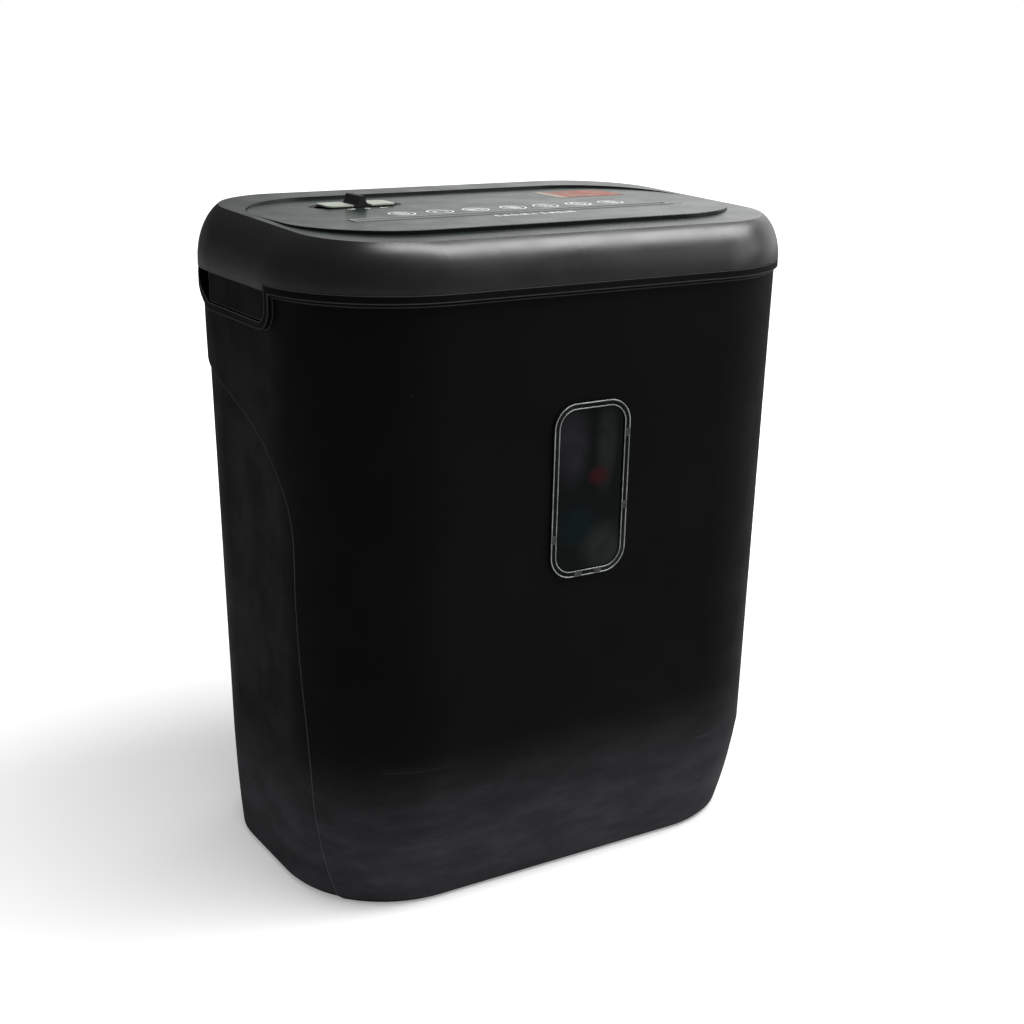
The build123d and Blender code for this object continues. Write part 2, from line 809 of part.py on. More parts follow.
with BuildPart() as switch_tray:
    with BuildSketch(Plane.XY.offset(plate_under)):
        with Locations((switch_x, switch_y)):
            SlotOverall(switch_length, switch_width)
    extrude(amount=tray_top - plate_under)
    with BuildSketch(Plane.XY.offset(plate_under + tray_floor)):
        with Locations((switch_x, switch_y)):
            SlotOverall(switch_length - 2 * tray_wall, switch_width - 2 * tray_wall)
    extrude(amount=tray_top - plate_under, mode=Mode.SUBTRACT)
    with BuildSketch(Plane.XY.offset(plate_under)):
        with Locations((switch_x, switch_y)):
            Rectangle(stem_width + 2 * switch_travel + 2, stem_depth + 1)
    extrude(amount=tray_floor, mode=Mode.SUBTRACT)

with BuildPart() as switch_knob:
    with BuildSketch(Plane.XY.offset(slider_low)):
        with Locations((switch_x, switch_y)):
            RectangleRounded(slider_length, slider_depth, slider_corner)
    extrude(amount=slider_top - slider_light_thick - slider_low)
    half = knob_width / 2
    foot = half + knob_foot
    low = slider_top - slider_light_thick
    tall = plate_top + knob_height - low
    turn_x = half + knob_foot_turn[0] * knob_foot
    turn_z = low + knob_foot_turn[1] * tall
    grip_z = low + knob_grip * tall
    with BuildSketch(Plane.XZ.offset(-switch_y - slider_depth / 2)):
        with BuildLine():
            right = ThreePointArc(
                (switch_x + foot, low), (switch_x + turn_x, turn_z), (switch_x + half, grip_z)
            )
            left = ThreePointArc(
                (switch_x - half, grip_z), (switch_x - turn_x, turn_z), (switch_x - foot, low)
            )
            Polyline(
                right @ 1,
                (switch_x + half - knob_draft, low + tall),
                (switch_x - half + knob_draft, low + tall),
                left @ 0,
            )
            Line(left @ 1, right @ 0)
        make_face()
    extrude(amount=slider_depth)
    block(
        (switch_x - stem_width / 2, switch_x + stem_width / 2),
        (switch_y - stem_depth / 2, switch_y + stem_depth / 2),
        (stem_bottom, slider_low),
    )

with BuildPart() as slider_plates:
    with BuildSketch(Plane.XY.offset(slider_top - slider_light_thick)):
        with Locations((switch_x, switch_y)):
            RectangleRounded(slider_length, slider_depth, slider_corner)
            Rectangle(knob_width + 2 * knob_foot + 2 * seat_gap, slider_depth, mode=Mode.SUBTRACT)
    extrude(amount=slider_light_thick)

with BuildPart() as mode_switch:
    length, depth, height = mode_switch_size
    x_span = (switch_x - length / 2, switch_x + length / 2)
    y_span = (switch_y - depth / 2, switch_y + depth / 2)
    block(x_span, y_span, (cover_under - height, cover_under))
    cavity = stem_width / 2 + switch_travel + 0.5
    block(
        (switch_x - cavity, switch_x + cavity),
        (switch_y - stem_depth / 2 - 0.4, switch_y + stem_depth / 2 + 0.4),
        (stem_bottom - 1, cover_under),
        mode=Mode.SUBTRACT,
    )
    for x in (-0.36, 0, 0.36):
        block(
            (switch_x + x * length - 0.4, switch_x + x * length + 0.4),
            (switch_y - 2, switch_y + 2),
            (cover_under - height - 5, cover_under - height),
        )

# ================================================================ head: cutting rollers
front_discs_x = [disc_pitch * (i - (disc_count - 1) / 2) for i in range(disc_count)]
rear_discs_x = [x + disc_pitch / 2 for x in front_discs_x[:-1]]
hex_bore = hex_flats / 2 + seat_gap


def polar(radius, turn):
    """Point in a YZ sketch; turn in degrees from +Y towards +Z."""
    return (radius * cos(radians(turn)), radius * sin(radians(turn)))


def cutter_discs(places, shaft_y, sense):
    """Hooked discs on a six-sided bore; the hooks advance from disc to disc."""
    with BuildPart() as discs:
        for number, x in enumerate(places):
            with BuildSketch(Plane.YZ.offset(x - disc_thick / 2)):
                with Locations((shaft_y, shaft_height)):
                    Circle(disc_radius)
                    for hook in range(hook_count):
                        turn = sense * (360 * hook / hook_count + hook_step * number)
                        Polygon(
                            polar(disc_radius - 2, turn + sense * 4),
                            polar(hook_radius, turn),
                            polar(disc_radius + 0.7, turn - sense * 12),
                            polar(disc_radius - 0.5, turn - sense * 30),
                            align=None,
                        )
                    RegularPolygon(hex_bore, 6, major_radius=False, mode=Mode.SUBTRACT)
        extrude(amount=disc_thick)
    return discs.part


def spacers(spans, shaft_y):
    """Rings that keep the discs apart, between pairs of X values."""
    with BuildPart() as rings:
        for low, high in spans:
            with BuildSketch(Plane.YZ.offset(low)):
                with Locations((shaft_y, shaft_height)):
                    Circle(spacer_radius)
                    RegularPolygon(hex_bore, 6, major_radius=False, mode=Mode.SUBTRACT)
            extrude(amount=high - low)
    return rings.part


def spacer_spans(places):
    """Gaps between neighbouring discs, and out to the side plates' bushes."""
    half = disc_thick / 2 + seat_gap
    end = plate_inner - bush_proud - fit_gap
    spans = [(low + half, high - half) for low, high in zip(places, places[1:])]
    return [(-end, places[0] - half)] + spans + [(places[-1] + half, end)]


def cutter_shaft(shaft_y, left_end, right_end, left_stub, right_stub):
    """Six-sided bar turned down to journals, then to stubs for its gears."""
    hex_half = plate_inner - bush_proud - fit_gap
    journal_end = plate_outer + bush_proud
    with BuildPart() as bar:
        with BuildSketch(Plane.YZ.offset(-hex_half)):
            with Locations((shaft_y, shaft_height)):
                RegularPolygon(hex_flats / 2, 6, major_radius=False)
        extrude(amount=2 * hex_half)
        lengthwise(shaft_y, shaft_height, -journal_end, journal_end, journal_radius)
        if left_stub:
            lengthwise(shaft_y, shaft_height, -left_end, 0, stub_radius)
        if right_stub:
            lengthwise(shaft_y, shaft_height, 0, right_end, stub_radius)
    return bar.part


layer_starts = [plate_outer + gear_start]
for width in layer_widths:
    layer_starts.append(layer_starts[-1] + width + layer_gap)
drive_x, middle_x, motor_x, gear_plate_x = layer_starts
gear_plate_x -= layer_gap - 1.0
gear_plate_far = gear_plate_x + gear_plate_thick
sync_x = plate_outer + 2.5
sync_width = 8.0
sync_end = sync_x + sync_width + 1

with BuildPart() as front_shaft:
    add(cutter_shaft(front_shaft_y, sync_end, 0, True, False))

with BuildPart() as rear_shaft:
    add(cutter_shaft(rear_shaft_y, sync_end, drive_x + layer_widths[0] + 1, True, True))

with BuildPart() as front_cutter_discs:
    add(cutter_discs(front_discs_x, front_shaft_y, -1))

with BuildPart() as rear_cutter_discs:
    add(cutter_discs(rear_discs_x, rear_shaft_y, 1))

with BuildPart() as front_spacers:
    add(spacers(spacer_spans(front_discs_x), front_shaft_y))

with BuildPart() as rear_spacers:
    add(spacers(spacer_spans(rear_discs_x), rear_shaft_y))


def stripper_comb(places, shaft_y, sense):
    """Thin plates that clean the gaps between discs, threaded on two tie rods."""
    back = shaft_y - sense * stripper_back
    front = shaft_y + sense * stripper_front
    with BuildPart() as comb:
        for x in places:
            with BuildSketch(Plane.YZ.offset(x - stripper_thick / 2)):
                with Locations(((back + front) / 2, shaft_height)):
                    Rectangle(abs(front - back), 2 * stripper_half_height)
                with Locations((shaft_y, shaft_height)):
                    Circle(spacer_radius + edge_gap, mode=Mode.SUBTRACT)
                for rise in (-rod_rise, rod_rise):
                    with Locations((shaft_y - sense * rod_back, shaft_height + rise)):
                        Circle(rod_radius + seat_gap, mode=Mode.SUBTRACT)
        extrude(amount=stripper_thick)
    return comb.part


with BuildPart() as front_strippers:
    add(stripper_comb(rear_discs_x, front_shaft_y, 1))

with BuildPart() as rear_strippers:
    add(stripper_comb(front_discs_x[1:-1], rear_shaft_y, -1))

# ================================================================ head: chassis
rod_places = [
    (y, shaft_height + rise)
    for y in (front_shaft_y - rod_back, rear_shaft_y + rod_back)
    for rise in (-rod_rise, rod_rise)
]
stud_radius = rod_radius - 1.0

with BuildPart() as tie_rods:
    for y, z in rod_places:
        lengthwise(y, z, -plate_inner, plate_inner, rod_radius)
        lengthwise(y, z, -plate_outer - nut_thick, plate_outer + nut_thick, stud_radius)

with BuildPart() as tie_rod_nuts:
    for side_x in (-plate_outer - nut_thick, plate_outer):
        with BuildSketch(Plane.YZ.offset(side_x)):
            with Locations(*rod_places):
                RegularPolygon(nut_flats / 2, 6, major_radius=False)
                Circle(stud_radius + seat_gap, mode=Mode.SUBTRACT)
    extrude(amount=nut_thick)

with BuildPart() as cutter_bushes:
    for low in (-plate_outer - bush_proud, plate_inner - bush_proud):
        with BuildSketch(Plane.YZ.offset(low)):
            with Locations((front_shaft_y, shaft_height), (rear_shaft_y, shaft_height)):
                Circle(bush_radius)
                Circle(journal_radius + run_gap, mode=Mode.SUBTRACT)
    extrude(amount=plate_thick + 2 * bush_proud)

drive_distance = drive_module * (drive_teeth + drive_pinion_teeth) / 2
middle_distance = middle_module * (middle_teeth + middle_pinion_teeth) / 2
motor_distance = motor_module * (motor_gear_teeth + motor_pinion_teeth) / 2


def from_axis(axis, distance, turn):
    step = polar(distance, turn)
    return (axis[0] + step[0], axis[1] + step[1])


front_axis = (front_shaft_y, shaft_height)
rear_axis = (rear_shaft_y, shaft_height)
large_axis = from_axis(rear_axis, drive_distance, drive_angle)
small_axis = from_axis(large_axis, middle_distance, middle_angle)
motor_axis = from_axis(small_axis, motor_distance, motor_angle)
motor_screw_places = [from_axis(motor_axis, motor_screw_circle, turn) for turn in (30, 150, 270)]
standoff_places = [
    (front_shaft_y - standoff_front, shaft_height - rod_back),
    (front_shaft_y - standoff_front, shaft_height + rod_back / 2),
    (motor_axis[0] + standoff_rear, motor_axis[1] - rod_back * 0.7),
    (motor_axis[0] + standoff_rear, small_axis[1] + motor_radius / 2),
]


def side_plate(side, rear, feet):
    """Steel side plate with holes for bushes and tie rods, and feet bent outwards."""
    low = min(side * plate_inner, side * plate_outer)
    out = side * (plate_outer + foot_reach)
    with BuildPart() as plate:
        block((low, low + plate_thick), (chassis_front, rear), (pad_top, chassis_top))
        for y in feet:
            block(
                sorted((side * plate_inner, out)),
                (y - foot_width / 2, y + foot_width / 2),
                (pad_top, pad_top + plate_thick),
            )
            hole = frame_screw_radius + seat_gap
            upright(side * foot_middle, y, pad_top, pad_top + plate_thick, hole, Mode.SUBTRACT)
        for y in (front_shaft_y, rear_shaft_y):
            lengthwise(y, shaft_height, low, low + plate_thick, bush_radius + seat_gap, Mode.SUBTRACT)
        for y, z in rod_places:
            lengthwise(y, z, low, low + plate_thick, stud_radius + seat_gap, Mode.SUBTRACT)
    return plate.part


with BuildPart() as left_side_plate:
    add(side_plate(-1, chassis_rear, left_feet))

with BuildPart() as right_side_plate:
    add(side_plate(1, chassis_rear, right_feet))
    block((plate_inner, plate_outer), (gear_side_front, gear_side_rear), (pad_top, gear_side_top))
    lengthwise(*rear_axis, plate_inner, plate_outer, bush_radius + seat_gap, Mode.SUBTRACT)
    for y, z in rod_places:
        lengthwise(y, z, plate_inner, plate_outer, stud_radius + seat_gap, Mode.SUBTRACT)
    for axis in (large_axis, small_axis):
        lengthwise(*axis, plate_inner, plate_outer, axle_radius + seat_gap, Mode.SUBTRACT)
    lengthwise(*motor_axis, plate_inner, plate_outer, motor_hub_radius + fit_gap, Mode.SUBTRACT)
    for place in motor_screw_places:
        lengthwise(*place, plate_inner, plate_outer, motor_screw_radius + seat_gap, Mode.SUBTRACT)
    for place in standoff_places:
        lengthwise(*place, plate_inner, plate_outer, motor_screw_radius + seat_gap, Mode.SUBTRACT)

with BuildPart() as gear_plate:
    block((gear_plate_x, gear_plate_far), gear_plate_span, gear_plate_heights)
    for axis in (large_axis, small_axis):
        lengthwise(*axis, gear_plate_x, gear_plate_far, axle_radius + seat_gap, Mode.SUBTRACT)
    for place in standoff_places:
        lengthwise(*place, gear_plate_x, gear_plate_far, motor_screw_radius + seat_gap, Mode.SUBTRACT)
    fillet(gear_plate.edges().filter_by(Axis.X).group_by(SortBy.LENGTH)[0], 4)

with BuildPart() as standoffs:
    for place in standoff_places:
        lengthwise(*place, plate_outer, gear_plate_x, standoff_radius)
        lengthwise(*place, plate_inner, gear_plate_far, motor_screw_radius)

with BuildPart() as gear_axles:
    for axis in (large_axis, small_axis):
        lengthwise(*axis, plate_inner, gear_plate_far, axle_radius)

with BuildPart() as frame_screws:
    for x, y in foot_places:
        upright(x, y, floor_top + 0.5, pad_top + plate_thick, frame_screw_radius)
        upright(x, y, pad_top + plate_thick, pad_top + plate_thick + screw_head, frame_screw_radius * 1.8)

with BuildPart() as case_screws:
    for x, y in column_places:
        upright(x, y, well_top - screw_head, well_top, case_head_radius)
        upright(x, y, well_top, well_top + case_screw_length, case_screw_radius)

# ================================================================ head: gears


def gear_outline(axis, module, teeth, turn):
    """Involute stub teeth, with a tooth centred at turn degrees."""
    pitch_radius = module * teeth / 2
    base = pitch_radius * cos(radians(pressure_angle))
    root = pitch_radius - 1.05 * module
    tip = pitch_radius + 0.8 * module

    def involute(radius):
        angle = acos(min(base / radius, 1))
        return tan(angle) - angle

    half = (pi * module / 2 - backlash) / 2 / pitch_radius + involute(pitch_radius)
    start = max(base, root)
    radii = [start + (tip - start) * i / 3 for i in range(4)]
    flank = [(radius, degrees(half - involute(radius))) for radius in radii]
    if base > root:
        flank.insert(0, (root, flank[0][1]))
    points = []
    for tooth in range(teeth):
        middle = turn + 360 * tooth / teeth
        points += [polar(radius, middle - angle) for radius, angle in flank]
        points += [polar(radius, middle + angle) for radius, angle in reversed(flank)]
    with Locations(axis):
        Polygon(*points, align=None)


def meshed(turn, teeth):
    """Turn of a gear whose tooth gap faces back along the line from its driver."""
    return turn + 180 + 180 / teeth


with BuildPart() as front_sync_gear:
    with BuildSketch(Plane.YZ.offset(-sync_x - sync_width)):
        gear_outline(front_axis, sync_module, sync_teeth, 0)
        with Locations(front_axis):
            Circle(stub_radius + seat_gap, mode=Mode.SUBTRACT)
    extrude(amount=sync_width)

with BuildPart() as rear_sync_gear:
    with BuildSketch(Plane.YZ.offset(-sync_x - sync_width)):
        gear_outline(rear_axis, sync_module, sync_teeth, meshed(0, sync_teeth))
        with Locations(rear_axis):
            Circle(stub_radius + seat_gap, mode=Mode.SUBTRACT)
    extrude(amount=sync_width)

with BuildPart() as drive_gear:
    with BuildSketch(Plane.YZ.offset(drive_x)):
        gear_outline(rear_axis, drive_module, drive_teeth, drive_angle)
        with Locations(rear_axis):
            Circle(stub_radius + seat_gap, mode=Mode.SUBTRACT)
    extrude(amount=layer_widths[0])

with BuildPart() as large_idler:
    with BuildSketch(Plane.YZ.offset(drive_x)):
        gear_outline(large_axis, drive_module, drive_pinion_teeth, meshed(drive_angle, drive_pinion_teeth))
    extrude(amount=layer_widths[0] + layer_gap / 2)
    with BuildSketch(Plane.YZ.offset(middle_x)):
        gear_outline(large_axis, middle_module, middle_teeth, middle_angle)
    extrude(amount=layer_widths[1])
    lengthwise(*large_axis, plate_outer + fit_gap, gear_plate_x - fit_gap, hub_radius)
    lengthwise(*large_axis, plate_outer, gear_plate_x, axle_radius + run_gap, Mode.SUBTRACT)

with BuildPart() as small_idler:
    with BuildSketch(Plane.YZ.offset(middle_x)):
        turn = meshed(middle_angle, middle_pinion_teeth)
        gear_outline(small_axis, middle_module, middle_pinion_teeth, turn)
    extrude(amount=layer_widths[1] + layer_gap / 2)
    with BuildSketch(Plane.YZ.offset(motor_x)):
        gear_outline(small_axis, motor_module, motor_gear_teeth, motor_angle)
    extrude(amount=layer_widths[2])
    lengthwise(*small_axis, plate_outer + fit_gap, gear_plate_x - fit_gap, hub_radius - 0.5)
    lengthwise(*small_axis, plate_outer, gear_plate_x, axle_radius + run_gap, Mode.SUBTRACT)

with BuildPart() as motor_pinion:
    with BuildSketch(Plane.YZ.offset(motor_x)):
        gear_outline(motor_axis, motor_module, motor_pinion_teeth, meshed(motor_angle, motor_pinion_teeth))
        with Locations(motor_axis):
            Circle(rotor_shaft_radius + seat_gap, mode=Mode.SUBTRACT)
    extrude(amount=layer_widths[2])

# ================================================================ head: motor
cap_x = plate_inner - motor_cap
can_x = cap_x - motor_length
rear_cap_x = can_x - motor_cap / 2
fan_x = rear_cap_x - fan_width - 1.5
rotor_x = can_x + (motor_length - rotor_length) / 2

with BuildPart() as motor_can:
    lengthwise(*motor_axis, can_x, cap_x, motor_radius)
    lengthwise(*motor_axis, can_x, cap_x, motor_radius - motor_wall, Mode.SUBTRACT)

with BuildPart() as motor_stator:
    lengthwise(*motor_axis, rotor_x - 2, rotor_x + rotor_length + 2, motor_radius - motor_wall - seat_gap)
    lengthwise(*motor_axis, can_x, cap_x, stator_inner, Mode.SUBTRACT)

with BuildPart() as motor_front_cap:
    lengthwise(*motor_axis, cap_x, plate_inner, motor_radius)
    lengthwise(*motor_axis, cap_x - 3, cap_x, motor_radius - motor_wall - seat_gap)
    lengthwise(*motor_axis, plate_inner, plate_outer, motor_hub_radius)
    lengthwise(*motor_axis, cap_x - 3, cap_x + motor_cap / 2, motor_hub_radius, Mode.SUBTRACT)
    lengthwise(*motor_axis, cap_x - 3, plate_outer, rotor_shaft_radius + run_gap, Mode.SUBTRACT)
    for place in motor_screw_places:
        lengthwise(*place, cap_x, plate_inner, motor_screw_radius + seat_gap, Mode.SUBTRACT)

with BuildPart() as motor_rear_cap:
    lengthwise(*motor_axis, rear_cap_x, can_x, motor_radius)
    lengthwise(*motor_axis, can_x, can_x + 3, motor_radius - motor_wall - seat_gap)
    lengthwise(*motor_axis, rear_cap_x, can_x + 3, rotor_shaft_radius + run_gap, Mode.SUBTRACT)
    with BuildSketch(Plane.YZ.offset(rear_cap_x)):
        with Locations(motor_axis):
            with PolarLocations(motor_radius * 0.55, 6):
                Circle(motor_radius * 0.16)
    extrude(amount=motor_cap, mode=Mode.SUBTRACT)

with BuildPart() as motor_shaft:
    lengthwise(*motor_axis, fan_x - 1, motor_x + layer_widths[2] + 0.3, rotor_shaft_radius)

with BuildPart() as rotor_core:
    with BuildSketch(Plane.YZ.offset(rotor_x)):
        with Locations(motor_axis):
            Circle(rotor_radius)
            with PolarLocations(rotor_radius, 12):
                Rectangle(5, 2, mode=Mode.SUBTRACT)
            Circle(rotor_shaft_radius + seat_gap, mode=Mode.SUBTRACT)
    extrude(amount=rotor_length)

with BuildPart() as cooling_fan:
    with BuildSketch(Plane.YZ.offset(fan_x)):
        with Locations(motor_axis):
            Circle(rotor_shaft_radius + 3)
            with PolarLocations(fan_radius / 2 + 1, fan_blades):
                Rectangle(fan_radius - 2, 1.2, rotation=12)
            Circle(rotor_shaft_radius + seat_gap, mode=Mode.SUBTRACT)
    extrude(amount=fan_width)

with BuildPart() as motor_screws:
    for place in motor_screw_places:
        lengthwise(*place, cap_x + 0.5, plate_outer, motor_screw_radius)
        lengthwise(*place, plate_outer, plate_outer + screw_head, motor_screw_radius * 1.9)

with BuildPart() as thermal_cutout:
    block(
        (can_x + 20, can_x + 38),
        (motor_axis[0] - 5, motor_axis[0] + 5),
        (motor_axis[1] + motor_radius - 2, motor_axis[1] + motor_radius + 5),
    )
    lengthwise(*motor_axis, can_x, cap_x, motor_radius + seat_gap, Mode.SUBTRACT)

# ================================================================ head: electronics and interlock
board_top = board_height + board_size[2]

with BuildPart() as control_board:
    with Locations((board_x, board_y, board_height)):
        Box(*board_size, align=(Align.CENTER, Align.CENTER, Align.MIN))
    for x, y in board_posts:
        upright(x, y, board_height, board_top, board_screw_radius + seat_gap, mode=Mode.SUBTRACT)

with BuildPart() as board_screws:
    for x, y in board_posts:
        upright(x, y, board_height - 6, board_top, board_screw_radius)
        upright(x, y, board_top, board_top + screw_head, 2 * board_screw_radius)

with BuildPart() as relays:
    for offset_x in (-20, 0):
        block(
            (board_x + offset_x - 8, board_x + offset_x + 8),
            (board_y - 16, board_y - 4),
            (board_top, board_top + 15),
        )

with BuildPart() as suppression_capacitor:
    block((board_x + 11, board_x + 27), (board_y - 15, board_y - 5), (board_top, board_top + 16))
    fillet(suppression_capacitor.edges().filter_by(Axis.Z), 1.5)

with BuildPart() as board_connectors:
    for offset_x in (-19, -4, 11):
        x = board_x + offset_x
        block((x - 6, x + 6), (board_y + 14, board_y + 22), (board_top, board_top + 10))
        block(
            (x - 5, x + 5), (board_y + 15.5, board_y + 20.5), (board_top + 3, board_top + 10), Mode.SUBTRACT
        )

flange_bottom = boss_top + interlock_travel + fit_gap
plunger_neck = plunger_radius - 0.6
neck_top = bracket_height + bracket_thick + 3.3

with BuildPart() as interlock_plunger:
    upright(interlock_x, interlock_y, plunger_bottom, flange_bottom, plunger_radius)
    upright(interlock_x, interlock_y, flange_bottom, flange_bottom + 2, plunger_flange)
    upright(interlock_x, interlock_y, flange_bottom + 2, neck_top, plunger_neck)
    fillet(interlock_plunger.faces().sort_by(Axis.Z)[0].edges(), 1.0)

with BuildPart() as interlock_bracket:
    reach = bracket_half + post_radius + 1.5
    block(
        (interlock_x - reach, interlock_x + reach),
        (interlock_y - 5, interlock_y + 5),
        (bracket_height, bracket_height + bracket_thick),
    )
    for side in (-1, 1):
        x = interlock_x + side * 7
        block((x - 1.5, x + 1.5), (interlock_y - 4, interlock_y + 4), (bracket_height, neck_top + 2))
    neck_hole = plunger_neck + run_gap
    upright(interlock_x, interlock_y, bracket_height, neck_top + 2, neck_hole, mode=Mode.SUBTRACT)
    for x, y in bracket_columns:
        upright(x, y, bracket_height, neck_top, board_screw_radius + seat_gap, mode=Mode.SUBTRACT)

with BuildPart() as bracket_screws:
    for x, y in bracket_columns:
        top = bracket_height + bracket_thick
        upright(x, y, bracket_height - 6, top, board_screw_radius)
        upright(x, y, top, top + screw_head, 2 * board_screw_radius)

with BuildPart() as interlock_switch:
    block(
        (interlock_x - 10, interlock_x + 10),
        (interlock_y - 3.5, interlock_y + 3.5),
        (neck_top + 2, neck_top + 12),
    )
    upright(interlock_x, interlock_y, neck_top + fit_gap, neck_top + 2, 1.2)

with BuildPart() as interlock_spring:
    spring_low = flange_bottom + 2 + 0.4
    spring_high = bracket_height - 0.4
    with BuildLine():
        Helix(
            (spring_high - spring_low) / spring_turns,
            spring_high - spring_low,
            spring_radius,
            center=(interlock_x, interlock_y, spring_low),
        )
    with BuildSketch(Plane.XZ.offset(-interlock_y)):
        with Locations((interlock_x + spring_radius, spring_low)):
            Circle(spring_wire / 2)
    sweep(is_frenet=True)

# ================================================================ finished pieces
pieces = {
    "bin": bin_shell,
    "window": window,
    "lower_housing": lower_housing,
    "upper_cover": upper_cover,
    "top_plate": top_plate,
    "indicator_lenses": indicator_lenses,
    "cord_gland": cord_gland,
    "feed_guide": feed_guide,
    "sensor_lever": sensor_lever,
    "sensor_pin": sensor_pin,
    "sensor_switch": sensor_switch,
    "switch_tray": switch_tray,
    "switch_knob": switch_knob,
    "slider_plates": slider_plates,
    "mode_switch": mode_switch,
    "front_shaft": front_shaft,
    "rear_shaft": rear_shaft,
    "front_cutter_discs": front_cutter_discs,
    "rear_cutter_discs": rear_cutter_discs,
    "front_spacers": front_spacers,
    "rear_spacers": rear_spacers,
    "front_strippers": front_strippers,
    "rear_strippers": rear_strippers,
    "tie_rods": tie_rods,
    "tie_rod_nuts": tie_rod_nuts,
    "cutter_bushes": cutter_bushes,
    "left_side_plate": left_side_plate,
    "right_side_plate": right_side_plate,
    "gear_plate": gear_plate,
    "standoffs": standoffs,
    "gear_axles": gear_axles,
    "frame_screws": frame_screws,
    "case_screws": case_screws,
    "front_sync_gear": front_sync_gear,
    "rear_sync_gear": rear_sync_gear,
    "drive_gear": drive_gear,
    "large_idler": large_idler,
    "small_idler": small_idler,
    "motor_pinion": motor_pinion,
    "motor_can": motor_can,
    "motor_stator": motor_stator,
    "motor_front_cap": motor_front_cap,
    "motor_rear_cap": motor_rear_cap,
    "motor_shaft": motor_shaft,
    "rotor_core": rotor_core,
    "cooling_fan": cooling_fan,
    "motor_screws": motor_screws,
    "thermal_cutout": thermal_cutout,
    "control_board": control_board,
    "board_screws": board_screws,
    "relays": relays,
    "suppression_capacitor": suppression_capacitor,
    "board_connectors": board_connectors,
    "interlock_plunger": interlock_plunger,
    "interlock_bracket": interlock_bracket,
    "bracket_screws": bracket_screws,
    "interlock_switch": interlock_switch,
    "interlock_spring": interlock_spring,
}
for label, piece in pieces.items():
    piece.part.label = label
    export_step(piece.part, f"parts/{label}.step")
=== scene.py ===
import json
from math import cos, pi, radians, sin
import bpy
from mathutils import Matrix, Vector


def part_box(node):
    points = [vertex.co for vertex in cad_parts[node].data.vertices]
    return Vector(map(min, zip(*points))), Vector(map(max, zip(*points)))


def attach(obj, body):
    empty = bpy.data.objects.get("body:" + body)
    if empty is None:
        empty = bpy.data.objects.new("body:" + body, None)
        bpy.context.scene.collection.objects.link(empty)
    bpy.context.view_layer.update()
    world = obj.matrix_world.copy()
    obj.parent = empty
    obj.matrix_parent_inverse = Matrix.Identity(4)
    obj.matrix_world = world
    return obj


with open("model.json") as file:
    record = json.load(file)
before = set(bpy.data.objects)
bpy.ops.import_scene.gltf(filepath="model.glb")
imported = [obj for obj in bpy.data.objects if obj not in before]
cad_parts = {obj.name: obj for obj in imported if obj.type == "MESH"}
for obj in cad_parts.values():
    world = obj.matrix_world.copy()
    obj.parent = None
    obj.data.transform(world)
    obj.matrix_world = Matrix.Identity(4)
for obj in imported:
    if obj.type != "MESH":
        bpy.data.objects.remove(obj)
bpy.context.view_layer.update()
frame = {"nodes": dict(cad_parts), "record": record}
nodes = frame["nodes"]
print("shredder: CAD model loaded,", len(nodes), "pieces")

mm = 0.001
noiseMiddle = (0.35, 0.65)  # noise lies round a half, so a finish spreads its middle stretch
noiseWide = (0.3, 0.7)


# small helpers for the finishes
def startFinish(name):
    finish = bpy.data.materials.new(name)
    finish.use_nodes = True
    return finish, finish.node_tree, finish.node_tree.nodes["Principled BSDF"]


def addNode(tree, kind, values=None, **settings):
    node = tree.nodes.new(kind)
    for key, value in settings.items():
        setattr(node, key, value)
    for key, value in (values or {}).items():
        node.inputs[key].default_value = value
    return node


def feed(tree, value, socket):
    if isinstance(value, tuple):
        socket.default_value = (*value, 1)
    elif isinstance(value, (int, float)):
        socket.default_value = value
    else:
        tree.links.new(value, socket)


def objectPoint(tree, scale=(1, 1, 1), shift=(0, 0, 0), turn=(0, 0, 0)):
    coords = addNode(tree, "ShaderNodeTexCoord")
    place = addNode(tree, "ShaderNodeMapping", {"Scale": scale, "Location": shift, "Rotation": turn})
    feed(tree, coords.outputs["Object"], place.inputs["Vector"])
    return place.outputs["Vector"]


def noise(tree, point, scale, detail=2.0, roughness=0.5):
    settings = {"Scale": scale, "Detail": detail, "Roughness": roughness}
    texture = addNode(tree, "ShaderNodeTexNoise", settings)
    feed(tree, point, texture.inputs["Vector"])
    return texture.outputs["Fac"]


def remap(tree, value, low, high, toLow=0.0, toHigh=1.0):
    limits = {"From Min": low, "From Max": high, "To Min": toLow, "To Max": toHigh}
    node = addNode(tree, "ShaderNodeMapRange", limits, interpolation_type="SMOOTHSTEP")
    feed(tree, value, node.inputs["Value"])
    return node.outputs["Result"]


def calc(tree, operation, first, second=0.0):
    node = addNode(tree, "ShaderNodeMath", operation=operation)
    feed(tree, first, node.inputs[0])
    feed(tree, second, node.inputs[1])
    return node.outputs["Value"]


mixSockets = {"first": 6, "second": 7, "result": 2}  # the colour ones of Blender's Mix node


def mixColour(tree, share, first, second):
    node = addNode(tree, "ShaderNodeMix", data_type="RGBA")
    feed(tree, share, node.inputs["Factor"])
    feed(tree, first, node.inputs[mixSockets["first"]])
    feed(tree, second, node.inputs[mixSockets["second"]])
    return node.outputs[mixSockets["result"]]


def axisValue(tree, point, axis):
    split = addNode(tree, "ShaderNodeSeparateXYZ")
    feed(tree, point, split.inputs["Vector"])
    return split.outputs[axis]


